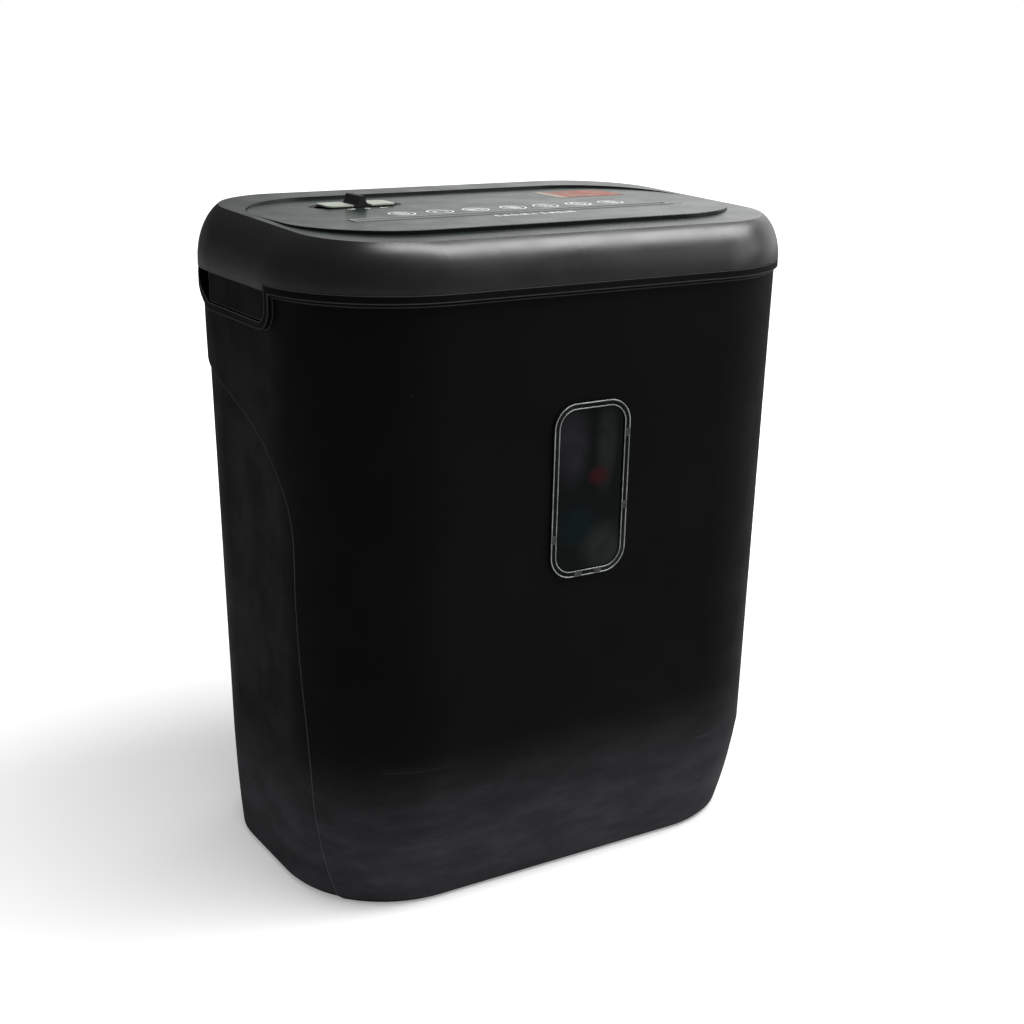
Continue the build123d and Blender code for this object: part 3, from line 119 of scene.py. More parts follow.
def dots(tree, spacing, radius, rarity):  # rarity is the share of places left empty
    core, blend = 0.5, 0.05  # a dot is full over this share of its radius, and rarity has a soft limit
    cells = addNode(tree, "ShaderNodeTexVoronoi", {"Scale": 1 / spacing})
    feed(tree, objectPoint(tree), cells.inputs["Vector"])
    spot = remap(tree, cells.outputs["Distance"], radius / spacing, core * radius / spacing)
    chosen = remap(tree, axisValue(tree, cells.outputs["Color"], "X"), rarity, rarity + blend)
    return calc(tree, "MULTIPLY", spot, chosen)


def softSpot(tree, centre, half, core=0.25):  # on the front: 1 at its core, 0 at its half size
    scale = (1 / half[0], 0, 1 / half[1])
    point = objectPoint(tree, scale, (-centre[0] / half[0], 0, -centre[1] / half[1]))
    length = addNode(tree, "ShaderNodeVectorMath", operation="LENGTH")
    feed(tree, point, length.inputs[0])
    return remap(tree, length.outputs["Value"], 1.0, core)


def bumps(tree, shader, layers):
    normal = None
    for height, strength, distance in layers:
        bump = addNode(tree, "ShaderNodeBump", {"Strength": strength, "Distance": distance})
        feed(tree, height, bump.inputs["Height"])
        if normal is not None:
            feed(tree, normal, bump.inputs["Normal"])
        normal = bump.outputs["Normal"]
    feed(tree, normal, shader.inputs["Normal"])


# what most plastic parts share; a look may set its own cloud, coat and wave
plasticUsual = {"cloud": 14, "coat": 0.0, "coatRough": 0.1, "wave": 0.10, "waveScale": 22,
                "waveHeight": 2 * mm, "grainHeight": 0.2 * mm}


def plasticFinish(name, ownLook):
    look = {**plasticUsual, **ownLook}
    finish, tree, shader = startFinish(name)
    point = objectPoint(tree)
    broad = remap(tree, noise(tree, point, look["cloud"]), *noiseMiddle)
    colour = mixColour(tree, broad, look["colour"], look["second"])
    if "dotColour" in look:
        dust = dots(tree, look["dotSpacing"], look["dotRadius"], look["dotRarity"])
        colour = mixColour(tree, dust, colour, look["dotColour"])
    rough = remap(tree, noise(tree, point, look["cloud"] * 3), *noiseWide, *look["rough"])
    if "flat" in look:  # another tone where the surface faces straight up: partly a greenish tint, partly a painted sheen
        plain = addNode(tree, "ShaderNodeNewGeometry")
        level = remap(tree, axisValue(tree, plain.outputs["Normal"], "Z"), *look["flatFrom"])
        colour = mixColour(tree, level, colour, look["flat"])
        rough = calc(tree, "SUBTRACT", rough, calc(tree, "MULTIPLY", level, look["flatRough"]))
    feed(tree, colour, shader.inputs["Base Color"])
    feed(tree, rough, shader.inputs["Roughness"])
    shader.inputs["Specular IOR Level"].default_value = look["shine"]
    shader.inputs["Coat Weight"].default_value = look["coat"]
    shader.inputs["Coat Roughness"].default_value = look["coatRough"]
    grain = noise(tree, point, 1 / look["grain"], 3.0, 0.6)
    wave = noise(tree, point, look["waveScale"], 1.0)
    bumps(tree, shader, [(wave, look["wave"], look["waveHeight"]),
                         (grain, look["depth"], look["grainHeight"])])
    return finish


# every metal has fine streaks, drawn out along its brushing, and broad stains
metalUsual = {"streakScale": 900, "stainScale": 60, "stainFrom": (0.35, 0.7), "streakHeight": 0.1 * mm}


def metalFinish(name, ownLook):
    look = {**metalUsual, **ownLook}
    finish, tree, shader = startFinish(name)
    streak = noise(tree, objectPoint(tree, look["brush"]), look["streakScale"], 3.0)
    stain = remap(tree, noise(tree, objectPoint(tree), look["stainScale"]), *look["stainFrom"])
    feed(tree, mixColour(tree, stain, look["colour"], look["second"]), shader.inputs["Base Color"])
    feed(tree, remap(tree, streak, *noiseWide, *look["rough"]), shader.inputs["Roughness"])
    shader.inputs["Metallic"].default_value = 1.0
    bumps(tree, shader, [(streak, look["depth"], look["streakHeight"])])
    return finish


# 1 on outer edges, where the rounded normal leaves the flat one: the mask for edge wear and a painted edge
# highlight
def edgeWearAndHighlight(tree, width, sharp=0.02):
    soft = addNode(tree, "ShaderNodeBevel", {"Radius": width}, samples=4)
    plain = addNode(tree, "ShaderNodeNewGeometry")
    facing = addNode(tree, "ShaderNodeVectorMath", operation="DOT_PRODUCT")
    feed(tree, soft.outputs["Normal"], facing.inputs[0])
    feed(tree, plain.outputs["Normal"], facing.inputs[1])
    return remap(tree, facing.outputs["Value"], 1 - sharp, 1 - 6 * sharp)


# the bin: near black, its foot pale with dust and a painted sheen, its edges pale with wear and a painted
# highlight
binLook = {
    "colour": (0.0026, 0.0026, 0.0028), "second": (0.0036, 0.0036, 0.0038), "cloudScale": 9,
    # dust colour, also raised to paint the sheen of the floor's reflection on the foot
    "dust": (0.084, 0.085, 0.094), "dustAndSheenShare": 0.78, "dustAndSheenHeights": (112 * mm, 26 * mm),  # starts, full
    "filmScale": 26, "filmStretch": (1, 1, 3), "filmFrom": (0.30, 0.80), "filmTo": (0.55, 1.0),
    "scuff": (0.10, 0.10, 0.105), "scuffShare": 0.20, "scuffLines": (5, 5, 260), "scuffLean": 3,
    "scuffTop": (130 * mm, 72 * mm), "scuffFoot": (32 * mm, 62 * mm), "dashFrom": (0.60, 0.74),
    "patchScale": 17, "patchFrom": (0.52, 0.62),
    "fleck": (0.30, 0.31, 0.31), "fleckShare": 0.6,
    "large": (24 * mm, 0.32 * mm, 0.45), "small": (9 * mm, 0.16 * mm, 0.60),  # spacing, radius, rarity
    # pale edge colour: partly wear, partly a painted highlight where the edges catch the light
    "edge": (0.13, 0.13, 0.128), "edgeWidth": 1.2 * mm, "edgeWearAndHighlightShare": 0.90,
    "rough": (0.50, 0.60), "roughScale": 40, "dustRough": 0.2, "shine": 0.08,
    "wave": (18, 0.015, 2 * mm), "grain": (1500, 0.16, 0.12 * mm),  # scale, strength, height
}


def footDustAndSheen(tree, look, height):  # dust on the foot that curls in, with a painted sheen that stands for the floor's reflection there
    low = remap(tree, height, *look["dustAndSheenHeights"])
    uneven = noise(tree, objectPoint(tree, look["filmStretch"]), look["filmScale"], 4.0, 0.65)
    film = remap(tree, uneven, *look["filmFrom"], *look["filmTo"])
    return calc(tree, "MULTIPLY", calc(tree, "MULTIPLY", low, film), look["dustAndSheenShare"])


def creaseScuffs(tree, look, point, height):  # fine dashes in patches near the crease
    across = objectPoint(tree, look["scuffLines"], turn=(0, radians(look["scuffLean"]), 0))
    lines = noise(tree, across, 1.0, 2.0)
    below = remap(tree, height, *look["scuffTop"])
    band = calc(tree, "MULTIPLY", below, remap(tree, height, *look["scuffFoot"]))
    patch = remap(tree, noise(tree, point, look["patchScale"], 2.0), *look["patchFrom"])
    dashes = remap(tree, lines, *look["dashFrom"])
    dashes = calc(tree, "MULTIPLY", dashes, calc(tree, "MULTIPLY", band, patch))
    return calc(tree, "MULTIPLY", dashes, look["scuffShare"])


def binFinish(name, look):
    finish, tree, shader = startFinish(name)
    point = objectPoint(tree)
    height = axisValue(tree, point, "Z")
    cloud = remap(tree, noise(tree, point, look["cloudScale"], 3.0), *noiseMiddle)
    colour = mixColour(tree, cloud, look["colour"], look["second"])
    dust = footDustAndSheen(tree, look, height)
    # the foot made paler: partly dust, partly painted reflection sheen
    colour = mixColour(tree, dust, colour, look["dust"])
    colour = mixColour(tree, creaseScuffs(tree, look, point, height), colour, look["scuff"])
    flecks = calc(tree, "MAXIMUM", dots(tree, *look["large"]), dots(tree, *look["small"]))
    colour = mixColour(tree, calc(tree, "MULTIPLY", flecks, look["fleckShare"]), colour, look["fleck"])
    # edges made paler: partly wear, partly a painted highlight along every sharp edge
    wornAndHighlitEdge = calc(tree, "MULTIPLY", edgeWearAndHighlight(tree, look["edgeWidth"]), look["edgeWearAndHighlightShare"])
    colour = mixColour(tree, wornAndHighlitEdge, colour, look["edge"])
    feed(tree, colour, shader.inputs["Base Color"])
    plainRough = remap(tree, noise(tree, point, look["roughScale"]), *noiseWide, *look["rough"])
    worn = calc(tree, "ADD", plainRough, calc(tree, "MULTIPLY", dust, look["dustRough"]))
    feed(tree, worn, shader.inputs["Roughness"])
    shader.inputs["Specular IOR Level"].default_value = look["shine"]
    waveScale, waveDepth, waveHeight = look["wave"]
    grainScale, grainDepth, grainHeight = look["grain"]
    bumps(tree, shader, [(noise(tree, point, waveScale, 1.0), waveDepth, waveHeight),
                         (noise(tree, point, grainScale, 3.0, 0.6), grainDepth, grainHeight)])
    return finish


# the window: smoked and clear, with soft patches of painted reflection in its colour
windowLook = {
    "smoke": (0.002, 0.003, 0.003), "clear": 0.10, "rough": (0.045, 0.099), "shine": 0.06, "bend": 1.49,
    "fleck": (0.35, 0.36, 0.34), "flecks": (7 * mm, 0.14 * mm, 0.55), "fleckShare": 0.5,
    "raggedScale": 70, "raggedFrom": (0.25, 0.6), "raggedTo": (0.45, 1.0), "hazeScale": 120,
    "wave": (55, 0.06, 0.6 * mm),  # scale, strength, height
    "paintedReflections": (  # painted reflections: colour, then centre and half size in mm across and up the front
        ((0.019, 0.019, 0.022), (-14, 284), (17, 34)),
        ((0.015, 0.019, 0.016), (11, 282), (10, 40)),
        ((0.0005, 0.009, 0.010), (-9, 233), (21, 17)),
        ((0.018, 0.023, 0.020), (13, 217), (24, 22)),
        ((0.032, 0.005, 0.007), (6, 263), (10, 8)),
    ),
}


def windowFinish(name, look):
    finish, tree, shader = startFinish(name)
    colour = look["smoke"]
    # each painted reflection goes into the window's colour as a soft, ragged patch
    for reflectedTone, centre, half in look["paintedReflections"]:
        share = softSpot(tree, [place * mm for place in centre], [size * mm for size in half])
        spread = noise(tree, objectPoint(tree), look["raggedScale"], 3.0)
        ragged = remap(tree, spread, *look["raggedFrom"], *look["raggedTo"])
        colour = mixColour(tree, calc(tree, "MULTIPLY", share, ragged), colour, reflectedTone)
    flecks = calc(tree, "MULTIPLY", dots(tree, *look["flecks"]), look["fleckShare"])
    feed(tree, mixColour(tree, flecks, colour, look["fleck"]), shader.inputs["Base Color"])
    shader.inputs["Specular IOR Level"].default_value = look["shine"]
    shader.inputs["Transmission Weight"].default_value = look["clear"]
    misted = noise(tree, objectPoint(tree), look["hazeScale"], 2.0)
    haze = remap(tree, misted, *noiseWide, *look["rough"])
    feed(tree, haze, shader.inputs["Roughness"])
    shader.inputs["IOR"].default_value = look["bend"]
    waveScale, waveDepth, waveHeight = look["wave"]
    bumps(tree, shader, [(noise(tree, objectPoint(tree), waveScale, 1.0), waveDepth, waveHeight)])
    return finish


# the other plastics and the metals, by the names of the record's material slots
shellLooks = {
    "cover_plastic": {"colour": (0.0060, 0.0062, 0.0072), "second": (0.0085, 0.0088, 0.0100),
                      "rough": (0.30, 0.36), "shine": 0.90, "grain": 0.7 * mm, "depth": 0.08, "wave": 0.04,
                      # up-facing faces: a greenish tone that is partly tint, partly painted sheen
                      "flat": (0.012, 0.021, 0.016), "flatFrom": (0.990, 0.998), "flatRough": 0.07,
                      "dotColour": (0.28, 0.29, 0.29), "dotSpacing": 17 * mm, "dotRadius": 0.2 * mm,
                      "dotRarity": 0.6},
    "panel_plastic": {"colour": (0.004, 0.005, 0.005), "second": (0.005, 0.006, 0.006), "rough": (0.24, 0.29),
                      "shine": 0.38, "grain": 0.5 * mm, "depth": 0.02, "wave": 0.012,
                      # up-facing faces: a greenish tone that is partly tint, partly painted sheen
                      "flat": (0.014, 0.025, 0.019), "flatFrom": (0.55, 0.75), "flatRough": 0.02,
                      "dotColour": (0.30, 0.31, 0.30), "dotSpacing": 21 * mm, "dotRadius": 0.2 * mm,
                      "dotRarity": 0.6},
    "dark_plastic": {"colour": (0.010, 0.010, 0.010), "second": (0.014, 0.014, 0.014), "rough": (0.40, 0.50),
                     "shine": 0.45, "grain": 0.6 * mm, "depth": 0.12},
    "light_plastic": {"colour": (0.42, 0.46, 0.39), "second": (0.36, 0.40, 0.34), "rough": (0.28, 0.38),
                      "shine": 0.5, "grain": 0.6 * mm, "depth": 0.06, "cloud": 90},
    "feed_plastic": {"colour": (0.33, 0.34, 0.34), "second": (0.26, 0.27, 0.27), "rough": (0.40, 0.52),
                     "shine": 0.5, "grain": 0.5 * mm, "depth": 0.10},
    "lens_plastic": {"colour": (0.020, 0.024, 0.022), "second": (0.030, 0.034, 0.030), "rough": (0.06, 0.12),
                     "shine": 0.7, "grain": 0.8 * mm, "depth": 0.03, "coat": 0.6},
    "rubber": {"colour": (0.014, 0.014, 0.014), "second": (0.022, 0.022, 0.022), "rough": (0.60, 0.75),
               "shine": 0.35, "grain": 0.4 * mm, "depth": 0.25},
    "white_nylon": {"colour": (0.62, 0.60, 0.54), "second": (0.54, 0.52, 0.45), "rough": (0.38, 0.50),
                    "shine": 0.5, "grain": 0.5 * mm, "depth": 0.10},
    "switch_plastic": {"colour": (0.024, 0.024, 0.026), "second": (0.034, 0.034, 0.036),
                       "rough": (0.30, 0.42), "shine": 0.5, "grain": 0.4 * mm, "depth": 0.10},
    "relay_plastic": {"colour": (0.030, 0.090, 0.250), "second": (0.024, 0.072, 0.205), "rough": (0.26, 0.36),
                      "shine": 0.5, "grain": 0.5 * mm, "depth": 0.06},
    "board_green": {"colour": (0.014, 0.120, 0.045), "second": (0.010, 0.085, 0.034), "rough": (0.22, 0.32),
                    "shine": 0.5, "grain": 0.9 * mm, "depth": 0.20, "coat": 0.3, "cloud": 160},
}

metalLooks = {
    "steel": {"colour": (0.52, 0.52, 0.53), "second": (0.43, 0.43, 0.44), "brush": (0.05, 1, 1),
              "rough": (0.20, 0.34), "depth": 0.10},
    "tool_steel": {"colour": (0.20, 0.20, 0.21), "second": (0.12, 0.115, 0.11), "brush": (1, 1, 1),
                   "rough": (0.32, 0.48), "depth": 0.16},
    "zinc": {"colour": (0.60, 0.61, 0.64), "second": (0.52, 0.52, 0.50), "brush": (1, 1, 0.08),
             "rough": (0.28, 0.42), "depth": 0.10},
    "cast_zinc": {"colour": (0.48, 0.49, 0.51), "second": (0.38, 0.39, 0.41), "brush": (1, 1, 1),
                  "rough": (0.42, 0.56), "depth": 0.30},
    "bronze": {"colour": (0.50, 0.33, 0.14), "second": (0.36, 0.22, 0.09), "brush": (1, 1, 1),
               "rough": (0.30, 0.45), "depth": 0.18},
    "motor_steel": {"colour": (0.36, 0.37, 0.40), "second": (0.28, 0.29, 0.31), "brush": (0.06, 1, 1),
                    "rough": (0.24, 0.38), "depth": 0.08},
}

finishes = {"black_plastic": binFinish("blackBinPlastic", binLook),
            "clear_plastic": windowFinish("smokedWindow", windowLook)}
for slot, look in shellLooks.items():
    finishes[slot] = plasticFinish(slot.replace("_", "") + "Finish", look)
for slot, look in metalLooks.items():
    finishes[slot] = metalFinish(slot.replace("_", "") + "Finish", look)

for row in frame["record"]["subparts"]:
    for place in nodes[row["node"]].material_slots:
        place.material = finishes[row["material_slot"]]
print("shredder: finishes set on the CAD pieces")


# small helpers for new pieces, all of them modelled with operators
def clearSelection():
    if bpy.context.object and bpy.context.object.mode != "OBJECT":
        bpy.ops.object.mode_set(mode="OBJECT")
    bpy.ops.object.select_all(action="DESELECT")


def editMode():
    bpy.ops.object.mode_set(mode="EDIT")
    bpy.ops.mesh.select_mode(type="FACE")


def settle(name, finish, body):  # the piece's place goes into its mesh
    if bpy.context.object.mode != "OBJECT":
        bpy.ops.object.mode_set(mode="OBJECT")
    piece = bpy.context.object
    bpy.ops.object.transform_apply(location=True, rotation=True, scale=True)
    piece.name = name
    piece.data.name = name
    piece.data.materials.clear()
    piece.data.materials.append(finish)
    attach(piece, body)
    return piece


def joinAll(parts):
    clearSelection()
    for part in parts:
        part.select_set(True)
    bpy.context.view_layer.objects.active = parts[0]
    if len(parts) > 1:
        bpy.ops.object.join()
    return bpy.context.object


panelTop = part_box("top_plate")[1].z
inkLift = 0.02 * mm  # printed marks stand this far off the panel
inkThick = 0.06 * mm
upright = 90  # the turn of a stroke that stands across the slot


def printedBar(x, y, length, width, turn=0.0, corner=0.45):  # a flat bar with rounded ends
    clearSelection()
    bpy.ops.mesh.primitive_plane_add(size=1, location=(x, y, panelTop + inkLift))
    bar = bpy.context.object
    bar.scale = (length, width, 1)
    bar.rotation_euler = (0, 0, radians(turn))
    bpy.ops.object.transform_apply(location=True, rotation=True, scale=True)
    editMode()
    bpy.ops.mesh.select_all(action="SELECT")
    bpy.ops.mesh.bevel(offset=corner * min(length, width), segments=3, affect="VERTICES")
    bpy.ops.mesh.select_all(action="SELECT")
    bpy.ops.mesh.extrude_region_move(TRANSFORM_OT_translate={"value": (0, 0, inkThick)})
    bpy.ops.object.mode_set(mode="OBJECT")
    return bar


def printedRing(x, y, radius, stroke, sides=40):  # a disc with its middle taken out
    clearSelection()
    place = (x, y, panelTop + inkLift)
    bpy.ops.mesh.primitive_circle_add(vertices=sides, radius=radius, fill_type="NGON", location=place)
    ring = bpy.context.object
    bpy.ops.object.transform_apply(location=True, rotation=True, scale=True)
    editMode()
    bpy.ops.mesh.select_all(action="SELECT")
    bpy.ops.mesh.inset(thickness=stroke)
    bpy.ops.mesh.delete(type="FACE")
    bpy.ops.mesh.select_all(action="SELECT")
    bpy.ops.mesh.extrude_region_move(TRANSFORM_OT_translate={"value": (0, 0, inkThick)})
    bpy.ops.object.mode_set(mode="OBJECT")
    return ring


inkFinish = plasticFinish("whiteInk", {
    "colour": (0.80, 0.84, 0.80), "second": (0.70, 0.74, 0.70), "rough": (0.50, 0.65), "shine": 0.3,
    "grain": 0.4 * mm, "depth": 0.12, "cloud": 220})

# seven round marks along the slot, showing what may be fed
# a stroke has its place across and up from the ring's middle, its length and its turn
pageEdges = ((-3.4, 0, 9.6, upright), (3.4, 0, 9.6, upright), (0, -4.4, 7.4, 0), (0, 4.4, 7.4, 0))
threeLines = ((0, -2.2, 4.0, 0), (0, 0, 4.0, 0), (0, 2.2, 4.0, 0))
feedMarks = {
    "x": (-69, -43, -18, 9, 33, 57.5, 82.4), "y": -9.0, "radius": 8.6, "stroke": 1.05, "bar": 1.15,
    "shows": ("sheet", "staple", "card", "sheets", "clip", "disc", "foldedSheet"),
    "sheet": (*pageEdges, (0, -1.6, 4.0, 0), (0, 1.6, 4.0, 0)),
    "staple": ((0, 2.6, 8.6, 0), (-4.0, -0.4, 6.4, upright), (4.0, -0.4, 6.4, upright)),
    "card": ((0, -3.2, 10.4, 0), (0, 3.2, 10.4, 0), (-5.0, 0, 6.8, upright), (5.0, 0, 6.8, upright),
             (0, 1.3, 10.0, 0), (-2.4, -1.4, 3.4, 0)),
    "sheets": (*pageEdges, *threeLines),
    "clip": ((-2.7, 0, 8.6, upright), (2.7, -0.6, 7.4, upright), (0, 0.4, 5.4, upright),
             (0, 4.2, 5.6, 0), (1.3, -4.2, 3.0, 0), (-1.4, -2.4, 3.0, 0)),
    "disc": (),
    "foldedSheet": (*pageEdges, *threeLines, (0, 0, 11.0, 45)),
    "discRings": ((5.2, 1.0), (1.9, 0.8)),  # radius, and width as a share of a bar's
}


def feedMark(index, look):
    x = look["x"][index] * mm
    y = look["y"] * mm
    bar = look["bar"] * mm
    shown = look["shows"][index]
    parts = [printedRing(x, y, look["radius"] * mm, look["stroke"] * mm)]
    for across, up, length, turn in look[shown]:
        parts.append(printedBar(x + across * mm, y + up * mm, length * mm, bar, turn))
    if shown == "disc":
        for radius, share in look["discRings"]:
            parts.append(printedRing(x, y, radius * mm, bar * share))
    joinAll(parts)
    return settle(f"feedMark{index + 1}", inkFinish, "head")


for index in range(len(feedMarks["x"])):
    feedMark(index, feedMarks)

# a row of upright strokes before the slot: a generic gauge for how many sheets it takes
# short and down are shares of a stroke's height, corner of its width
sheetGauge = {
    "start": -23.0, "y": -42.5, "height": 5.6, "stroke": 1.5, "steps": (4.3, 2.6), "groups": (8, 7),
    "gap": 5.0, "short": 0.62, "corner": 0.3,
    "foot": {"aside": 1.3, "down": 0.3, "long": 1.8, "wide": 1.1},
}


def gauge(look):
    parts = []
    foot, corner = look["foot"], look["corner"]
    x = look["start"]
    for group in look["groups"]:
        for index in range(group):
            height = look["height"] * (look["short"] if index % 3 == 1 else 1.0)
            y = look["y"] - (look["height"] - height) / 2
            parts.append(printedBar(x * mm, y * mm, look["stroke"] * mm, height * mm, 0, corner))
            parts.append(printedBar((x + foot["aside"]) * mm, (y - height * foot["down"]) * mm,
                                    foot["long"] * mm, foot["wide"] * mm, 0, corner))
            x += look["steps"][index % 2]
        x += look["gap"]
    joinAll(parts)
    return settle("sheetGauge", inkFinish, "head")


gauge(sheetGauge)

# the switch's marks: run arrow, stop ring and reverse arrow, and one more arrow at the back
# shaft, ring and barb are shares of the size
switchMarks = {"y": 24.2, "places": (-86.0, -75.0, -64.0), "back": (-89.0, 60.5), "size": 3.0, "stroke": 0.8,
               "shaft": 1.9, "ring": 0.6, "ringSides": 24,
               "barb": {"ahead": 0.55, "aside": 0.28, "long": 0.95, "turn": 40}}


def arrow(x, y, sense, look):
    size, stroke, barb = look["size"], look["stroke"], look["barb"]
    parts = [printedBar(x * mm, y * mm, look["shaft"] * size * mm, stroke * mm)]
    for side in (-1, 1):
        place = ((x + sense * size * barb["ahead"]) * mm, (y + side * size * barb["aside"]) * mm)
        parts.append(printedBar(*place, barb["long"] * size * mm, stroke * mm, -sense * side * barb["turn"]))
    return parts


def switchSigns(look):
    left, middle, right = look["places"]
    y = look["y"]
    parts = arrow(left, y, 1, look)
    radius = look["ring"] * look["size"] * mm
    parts.append(printedRing(middle * mm, y * mm, radius, look["stroke"] * mm, look["ringSides"]))
    parts += arrow(right, y, -1, look)
    parts += arrow(*look["back"], -1, look)
    joinAll(parts)
    return settle("switchMarks", inkFinish, "head")


switchSigns(switchMarks)

# a plain two-colour sticker at the back right, without words
sticker = {"low": (67.0, 26.0), "high": (118.0, 60.0), "corner": 1.6, "border": 6.0, "thick": 0.12,
           "paper": (0.36, 0.31, 0.25), "orange": (0.30, 0.050, 0.022), "faded": (0.21, 0.11, 0.085),
           "blur": 0.6, "wornScale": 55, "wornStretch": (1, 1.6, 1), "wornFrom": (0.40, 0.62),
           "rough": (0.34, 0.46), "roughScale": 90, "grain": (500, 0.08, 0.1 * mm)}


def stickerFinish(name, look):
    finish, tree, shader = startFinish(name)
    point = objectPoint(tree)
    edge = (look["low"][0] + look["border"]) * mm
    inside = remap(tree, axisValue(tree, point, "X"), edge, edge + look["blur"] * mm)
    rubs = noise(tree, objectPoint(tree, look["wornStretch"]), look["wornScale"], 4.0, 0.6)
    worn = remap(tree, rubs, *look["wornFrom"])
    field = mixColour(tree, worn, look["orange"], look["faded"])
    feed(tree, mixColour(tree, inside, look["paper"], field), shader.inputs["Base Color"])
    rough = remap(tree, noise(tree, point, look["roughScale"]), *noiseWide, *look["rough"])
    feed(tree, rough, shader.inputs["Roughness"])
    grainScale, grainDepth, grainHeight = look["grain"]
    bumps(tree, shader, [(noise(tree, point, grainScale, 2.0), grainDepth, grainHeight)])
    return finish


def makeSticker(look):
    corners = list(zip(look["low"], look["high"]))
    centre = [(low + high) / 2 * mm for low, high in corners]
    size = [(high - low) * mm for low, high in corners]
    clearSelection()
    bpy.ops.mesh.primitive_plane_add(size=1, location=(*centre, panelTop + inkLift))
    bpy.context.object.scale = (*size, 1)
    bpy.ops.object.transform_apply(location=True, rotation=True, scale=True)
    editMode()
    bpy.ops.mesh.select_all(action="SELECT")
    bpy.ops.mesh.bevel(offset=look["corner"] * mm, segments=5, affect="VERTICES")
    bpy.ops.mesh.select_all(action="SELECT")
    bpy.ops.mesh.extrude_region_move(TRANSFORM_OT_translate={"value": (0, 0, look["thick"] * mm)})
    return settle("plainSticker", stickerFinish("orangeSticker", look), "head")


makeSticker(sticker)
print("shredder: marks and sticker on the top plate")

# the window's rim: two pale beads around it that paint its bright edge lines as a highlight, with dark marks
# of painted shade over its snap hooks
windowRim = {"lean": 1.265, "corner": 15.0, "cornerSteps": 14, "insets": (0.45, 3.5),
             "radii": (0.40, 0.34), "sunk": 0.12,
             "hooks": ((24.9, 32.3), (24.9, -12.9), (-24.9, -28.0), (-7.0, -51.8), (7.0, -51.8)),
             "mark": (3.0, 5.2, 0.42), "markCorner": 0.3, "markSunk": 0.05, "endBand": 5}
windowLow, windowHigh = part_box("window")
windowHalf = ((windowHigh.x - windowLow.x) / 2, (windowHigh.z - windowLow.z) / 2)
windowLean = radians(windowRim["lean"])
windowFace = Vector((0, windowLow.y + windowHalf[1] * sin(windowLean), (windowLow.z + windowHigh.z) / 2))
windowUp = Vector((0, -sin(windowLean), cos(windowLean)))
windowOut = Vector((0, -cos(windowLean), -sin(windowLean)))

# pale beads: a painted highlight along the clear rim's edges
rimHighlightFinish = plasticFinish("paintedRimHighlight", {
    "colour": (0.40, 0.43, 0.42), "second": (0.22, 0.24, 0.23), "rough": (0.30, 0.45), "shine": 0.5,
    "grain": 0.5 * mm, "depth": 0.10, "cloud": 130})
# dark marks: painted shade where the hooks break the rim's painted highlight
hookShadeFinish = plasticFinish("hookShadow", {
    "colour": (0.016, 0.018, 0.018), "second": (0.050, 0.054, 0.052), "rough": (0.20, 0.35), "shine": 0.5,
    "grain": 0.5 * mm, "depth": 0.10, "cloud": 260})


def layOnWindow(piece, x, y, lift):
    piece.rotation_euler = (pi / 2 + windowLean, 0, 0)
    piece.location = windowFace + Vector((x, 0, 0)) + windowUp * y + windowOut * lift
    bpy.ops.object.transform_apply(location=True, rotation=True, scale=True)


def windowBead(index, look):
    inset = look["insets"][index] * mm
    clearSelection()
    bpy.ops.mesh.primitive_plane_add(size=2)
    bead = bpy.context.object
    bead.scale = (windowHalf[0] - inset, windowHalf[1] - inset, 1)
    bpy.ops.object.transform_apply(scale=True)
    editMode()
    bpy.ops.mesh.select_all(action="SELECT")
    bpy.ops.mesh.bevel(offset=look["corner"] * mm - inset, segments=look["cornerSteps"], affect="VERTICES")
    bpy.ops.mesh.select_all(action="SELECT")
    bpy.ops.mesh.delete(type="ONLY_FACE")
    bpy.ops.object.mode_set(mode="OBJECT")
    bpy.ops.object.convert(target="CURVE")
    bead = bpy.context.object
    bead.data.bevel_depth = look["radii"][index] * mm
    bead.data.bevel_resolution = 3
    bpy.ops.object.convert(target="MESH")
    bpy.ops.object.shade_smooth()
    layOnWindow(bpy.context.object, 0, 0, -look["sunk"] * mm)
    return bpy.context.object


def rimBeads(look):
    joinAll([windowBead(index, look) for index in range(len(look["insets"]))])
    return settle("windowHighlightBeads", rimHighlightFinish, "bin")


# small dark pieces of painted shade, one over each snap hook
def hookShadeMarks(look):
    wide, tall, thick = (size * mm for size in look["mark"])
    marks = []
    for x, y in look["hooks"]:
        clearSelection()
        bpy.ops.mesh.primitive_plane_add(size=1)
        mark = bpy.context.object
        onSide = abs(y) < windowHalf[1] / mm - look["endBand"]  # hooks at the ends lie flat
        mark.scale = (wide, tall, 1) if onSide else (tall, wide, 1)
        bpy.ops.object.transform_apply(scale=True)
        editMode()
        bpy.ops.mesh.select_all(action="SELECT")
        bpy.ops.mesh.bevel(offset=look["markCorner"] * wide, segments=3, affect="VERTICES")
        bpy.ops.mesh.select_all(action="SELECT")
        bpy.ops.mesh.extrude_region_move(TRANSFORM_OT_translate={"value": (0, 0, thick)})
        bpy.ops.object.mode_set(mode="OBJECT")
        layOnWindow(mark, x * mm, y * mm, -look["markSunk"] * mm)
        marks.append(mark)
    joinAll(marks)
    return settle("hookShadeMarks", hookShadeFinish, "bin")


rimBeads(windowRim)
hookShadeMarks(windowRim)
print("shredder: window rim")


# floor, camera and light
stageLook = {"floor": 9.0, "drop": 0.5 * mm, "colour": (0.42, 0.42, 0.42), "seen": (0.90, 0.90, 0.90),
             "glow": 0.24, "glowFar": 1.0, "near": 0.25, "far": 1.0, "rough": 0.9, "shine": 0.1}


def seenShare(tree):  # 1 for what the camera or a clear part looks at, 0 for other light
    rays = addNode(tree, "ShaderNodeLightPath")
    return calc(tree, "MAXIMUM", rays.outputs["Is Camera Ray"], rays.outputs["Is Transmission Ray"])


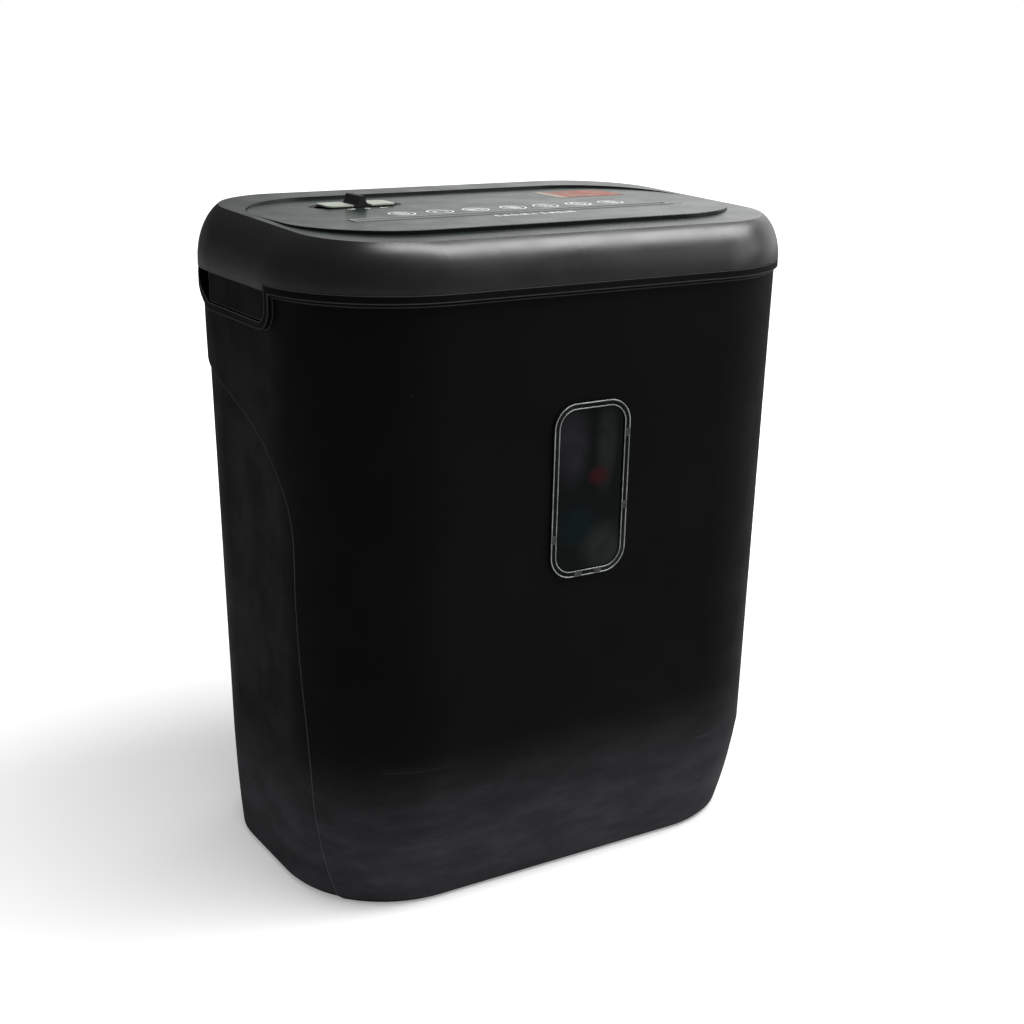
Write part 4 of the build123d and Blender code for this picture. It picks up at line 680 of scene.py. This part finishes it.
def makeFloor(look):
    clearSelection()
    bpy.ops.mesh.primitive_plane_add(size=look["floor"], location=(0, 0, -look["drop"]))
    floor = bpy.context.object
    floor.name = "paleFloor"
    finish, tree, shader = startFinish("paleFloor")
    share = seenShare(tree)
    feed(tree, mixColour(tree, share, look["colour"], look["seen"]), shader.inputs["Base Color"])
    distance = addNode(tree, "ShaderNodeVectorMath", operation="LENGTH")
    feed(tree, objectPoint(tree), distance.inputs[0])
    glow = remap(tree, distance.outputs["Value"], look["near"], look["far"], look["glow"], look["glowFar"])
    shader.inputs["Emission Color"].default_value = (1, 1, 1, 1)
    feed(tree, calc(tree, "MULTIPLY", glow, share), shader.inputs["Emission Strength"])
    shader.inputs["Roughness"].default_value = look["rough"]
    shader.inputs["Specular IOR Level"].default_value = look["shine"]
    floor.data.materials.append(finish)


makeFloor(stageLook)

cameraPlace = {"at": (-0.5323, -0.8830, 0.5233), "ahead": (0.5054, 0.8127, -0.2899),
               "up": (0.1413, 0.2535, 0.9570), "lens": 57.57, "sensor": 36, "nearest": 0.01}


def turnTo(ahead, upwards):
    right = ahead.cross(upwards).normalized()
    return Matrix((right, right.cross(ahead), -ahead)).transposed().to_4x4()


def makeCamera(look):
    data = bpy.data.cameras.new("studioCamera")
    data.lens = look["lens"]
    data.sensor_width = look["sensor"]
    data.clip_start = look["nearest"]
    camera = bpy.data.objects.new("studioCamera", data)
    bpy.context.scene.collection.objects.link(camera)
    ahead = Vector(look["ahead"]).normalized()
    camera.matrix_world = Matrix.Translation(look["at"]) @ turnTo(ahead, Vector(look["up"]))
    bpy.context.scene.camera = camera


makeCamera(cameraPlace)

softLamps = {
    "topSoftbox": {"at": (0.46, -0.44, 1.50), "towards": (0.0, 0.0, 0.38),
                   "size": (1.90, 0.62), "power": 27.0},
    "sideSoftbox": {"at": (1.6, -1.0, 0.8), "towards": (0.0, 0.0, 0.25),
                    "size": (0.8, 1.2), "power": 4.0},
    "backSoftbox": {"at": (1.3, 0.9, 1.3), "towards": (0.0, 0.0, 0.3),
                    "size": (1.0, 0.8), "power": 3.0},
}


def makeLamps(lamps):
    for name, look in lamps.items():
        data = bpy.data.lights.new(name, "AREA")
        data.shape = "RECTANGLE"
        data.size, data.size_y = look["size"]
        data.energy = look["power"]
        lamp = bpy.data.objects.new(name, data)
        bpy.context.scene.collection.objects.link(lamp)
        ahead = (Vector(look["towards"]) - Vector(look["at"])).normalized()
        lamp.matrix_world = Matrix.Translation(look["at"]) @ turnTo(ahead, Vector((0, 1, 0)))


makeLamps(softLamps)

roomLook = {"fill": 0.42, "bright": 1.0, "dim": 0.05, "brightSide": (0.862, 0.507, 0.0),
            "ramp": (0.70, 0.94), "horizon": (0.08, 0.22), "behind": (-0.2, 0.4), "glare": 0.10}


def makeRoom(look):  # reflections find it pale at the right and near the horizon, dim elsewhere
    world = bpy.data.worlds.new("studioRoom")
    bpy.context.scene.world = world
    world.use_nodes = True
    tree = world.node_tree
    background = tree.nodes["Background"]
    coords = addNode(tree, "ShaderNodeTexCoord")
    direction = coords.outputs["Generated"]
    facing = addNode(tree, "ShaderNodeVectorMath", operation="DOT_PRODUCT")
    feed(tree, direction, facing.inputs[0])
    facing.inputs[1].default_value = look["brightSide"]
    level = remap(tree, facing.outputs["Value"], *look["ramp"], look["dim"], look["bright"])
    raised = remap(tree, axisValue(tree, direction, "Z"), *look["horizon"])
    behind = remap(tree, axisValue(tree, direction, "Y"), *look["behind"])
    low = calc(tree, "MULTIPLY", calc(tree, "SUBTRACT", 1.0, raised), behind)
    mirrored = calc(tree, "MAXIMUM", level, calc(tree, "MULTIPLY", low, look["glare"]))
    rays = addNode(tree, "ShaderNodeLightPath")
    added = calc(tree, "SUBTRACT", mirrored, look["fill"])
    glossy = calc(tree, "MULTIPLY", rays.outputs["Is Glossy Ray"], added)
    seen = calc(tree, "MULTIPLY", seenShare(tree), 1.0 - look["fill"])
    strength = calc(tree, "ADD", calc(tree, "ADD", glossy, seen), look["fill"])
    feed(tree, strength, background.inputs["Strength"])
    background.inputs["Color"].default_value = (1, 1, 1, 1)


makeRoom(roomLook)
bpy.context.scene.view_settings.view_transform = "Standard"
print("shredder: floor, camera and light")
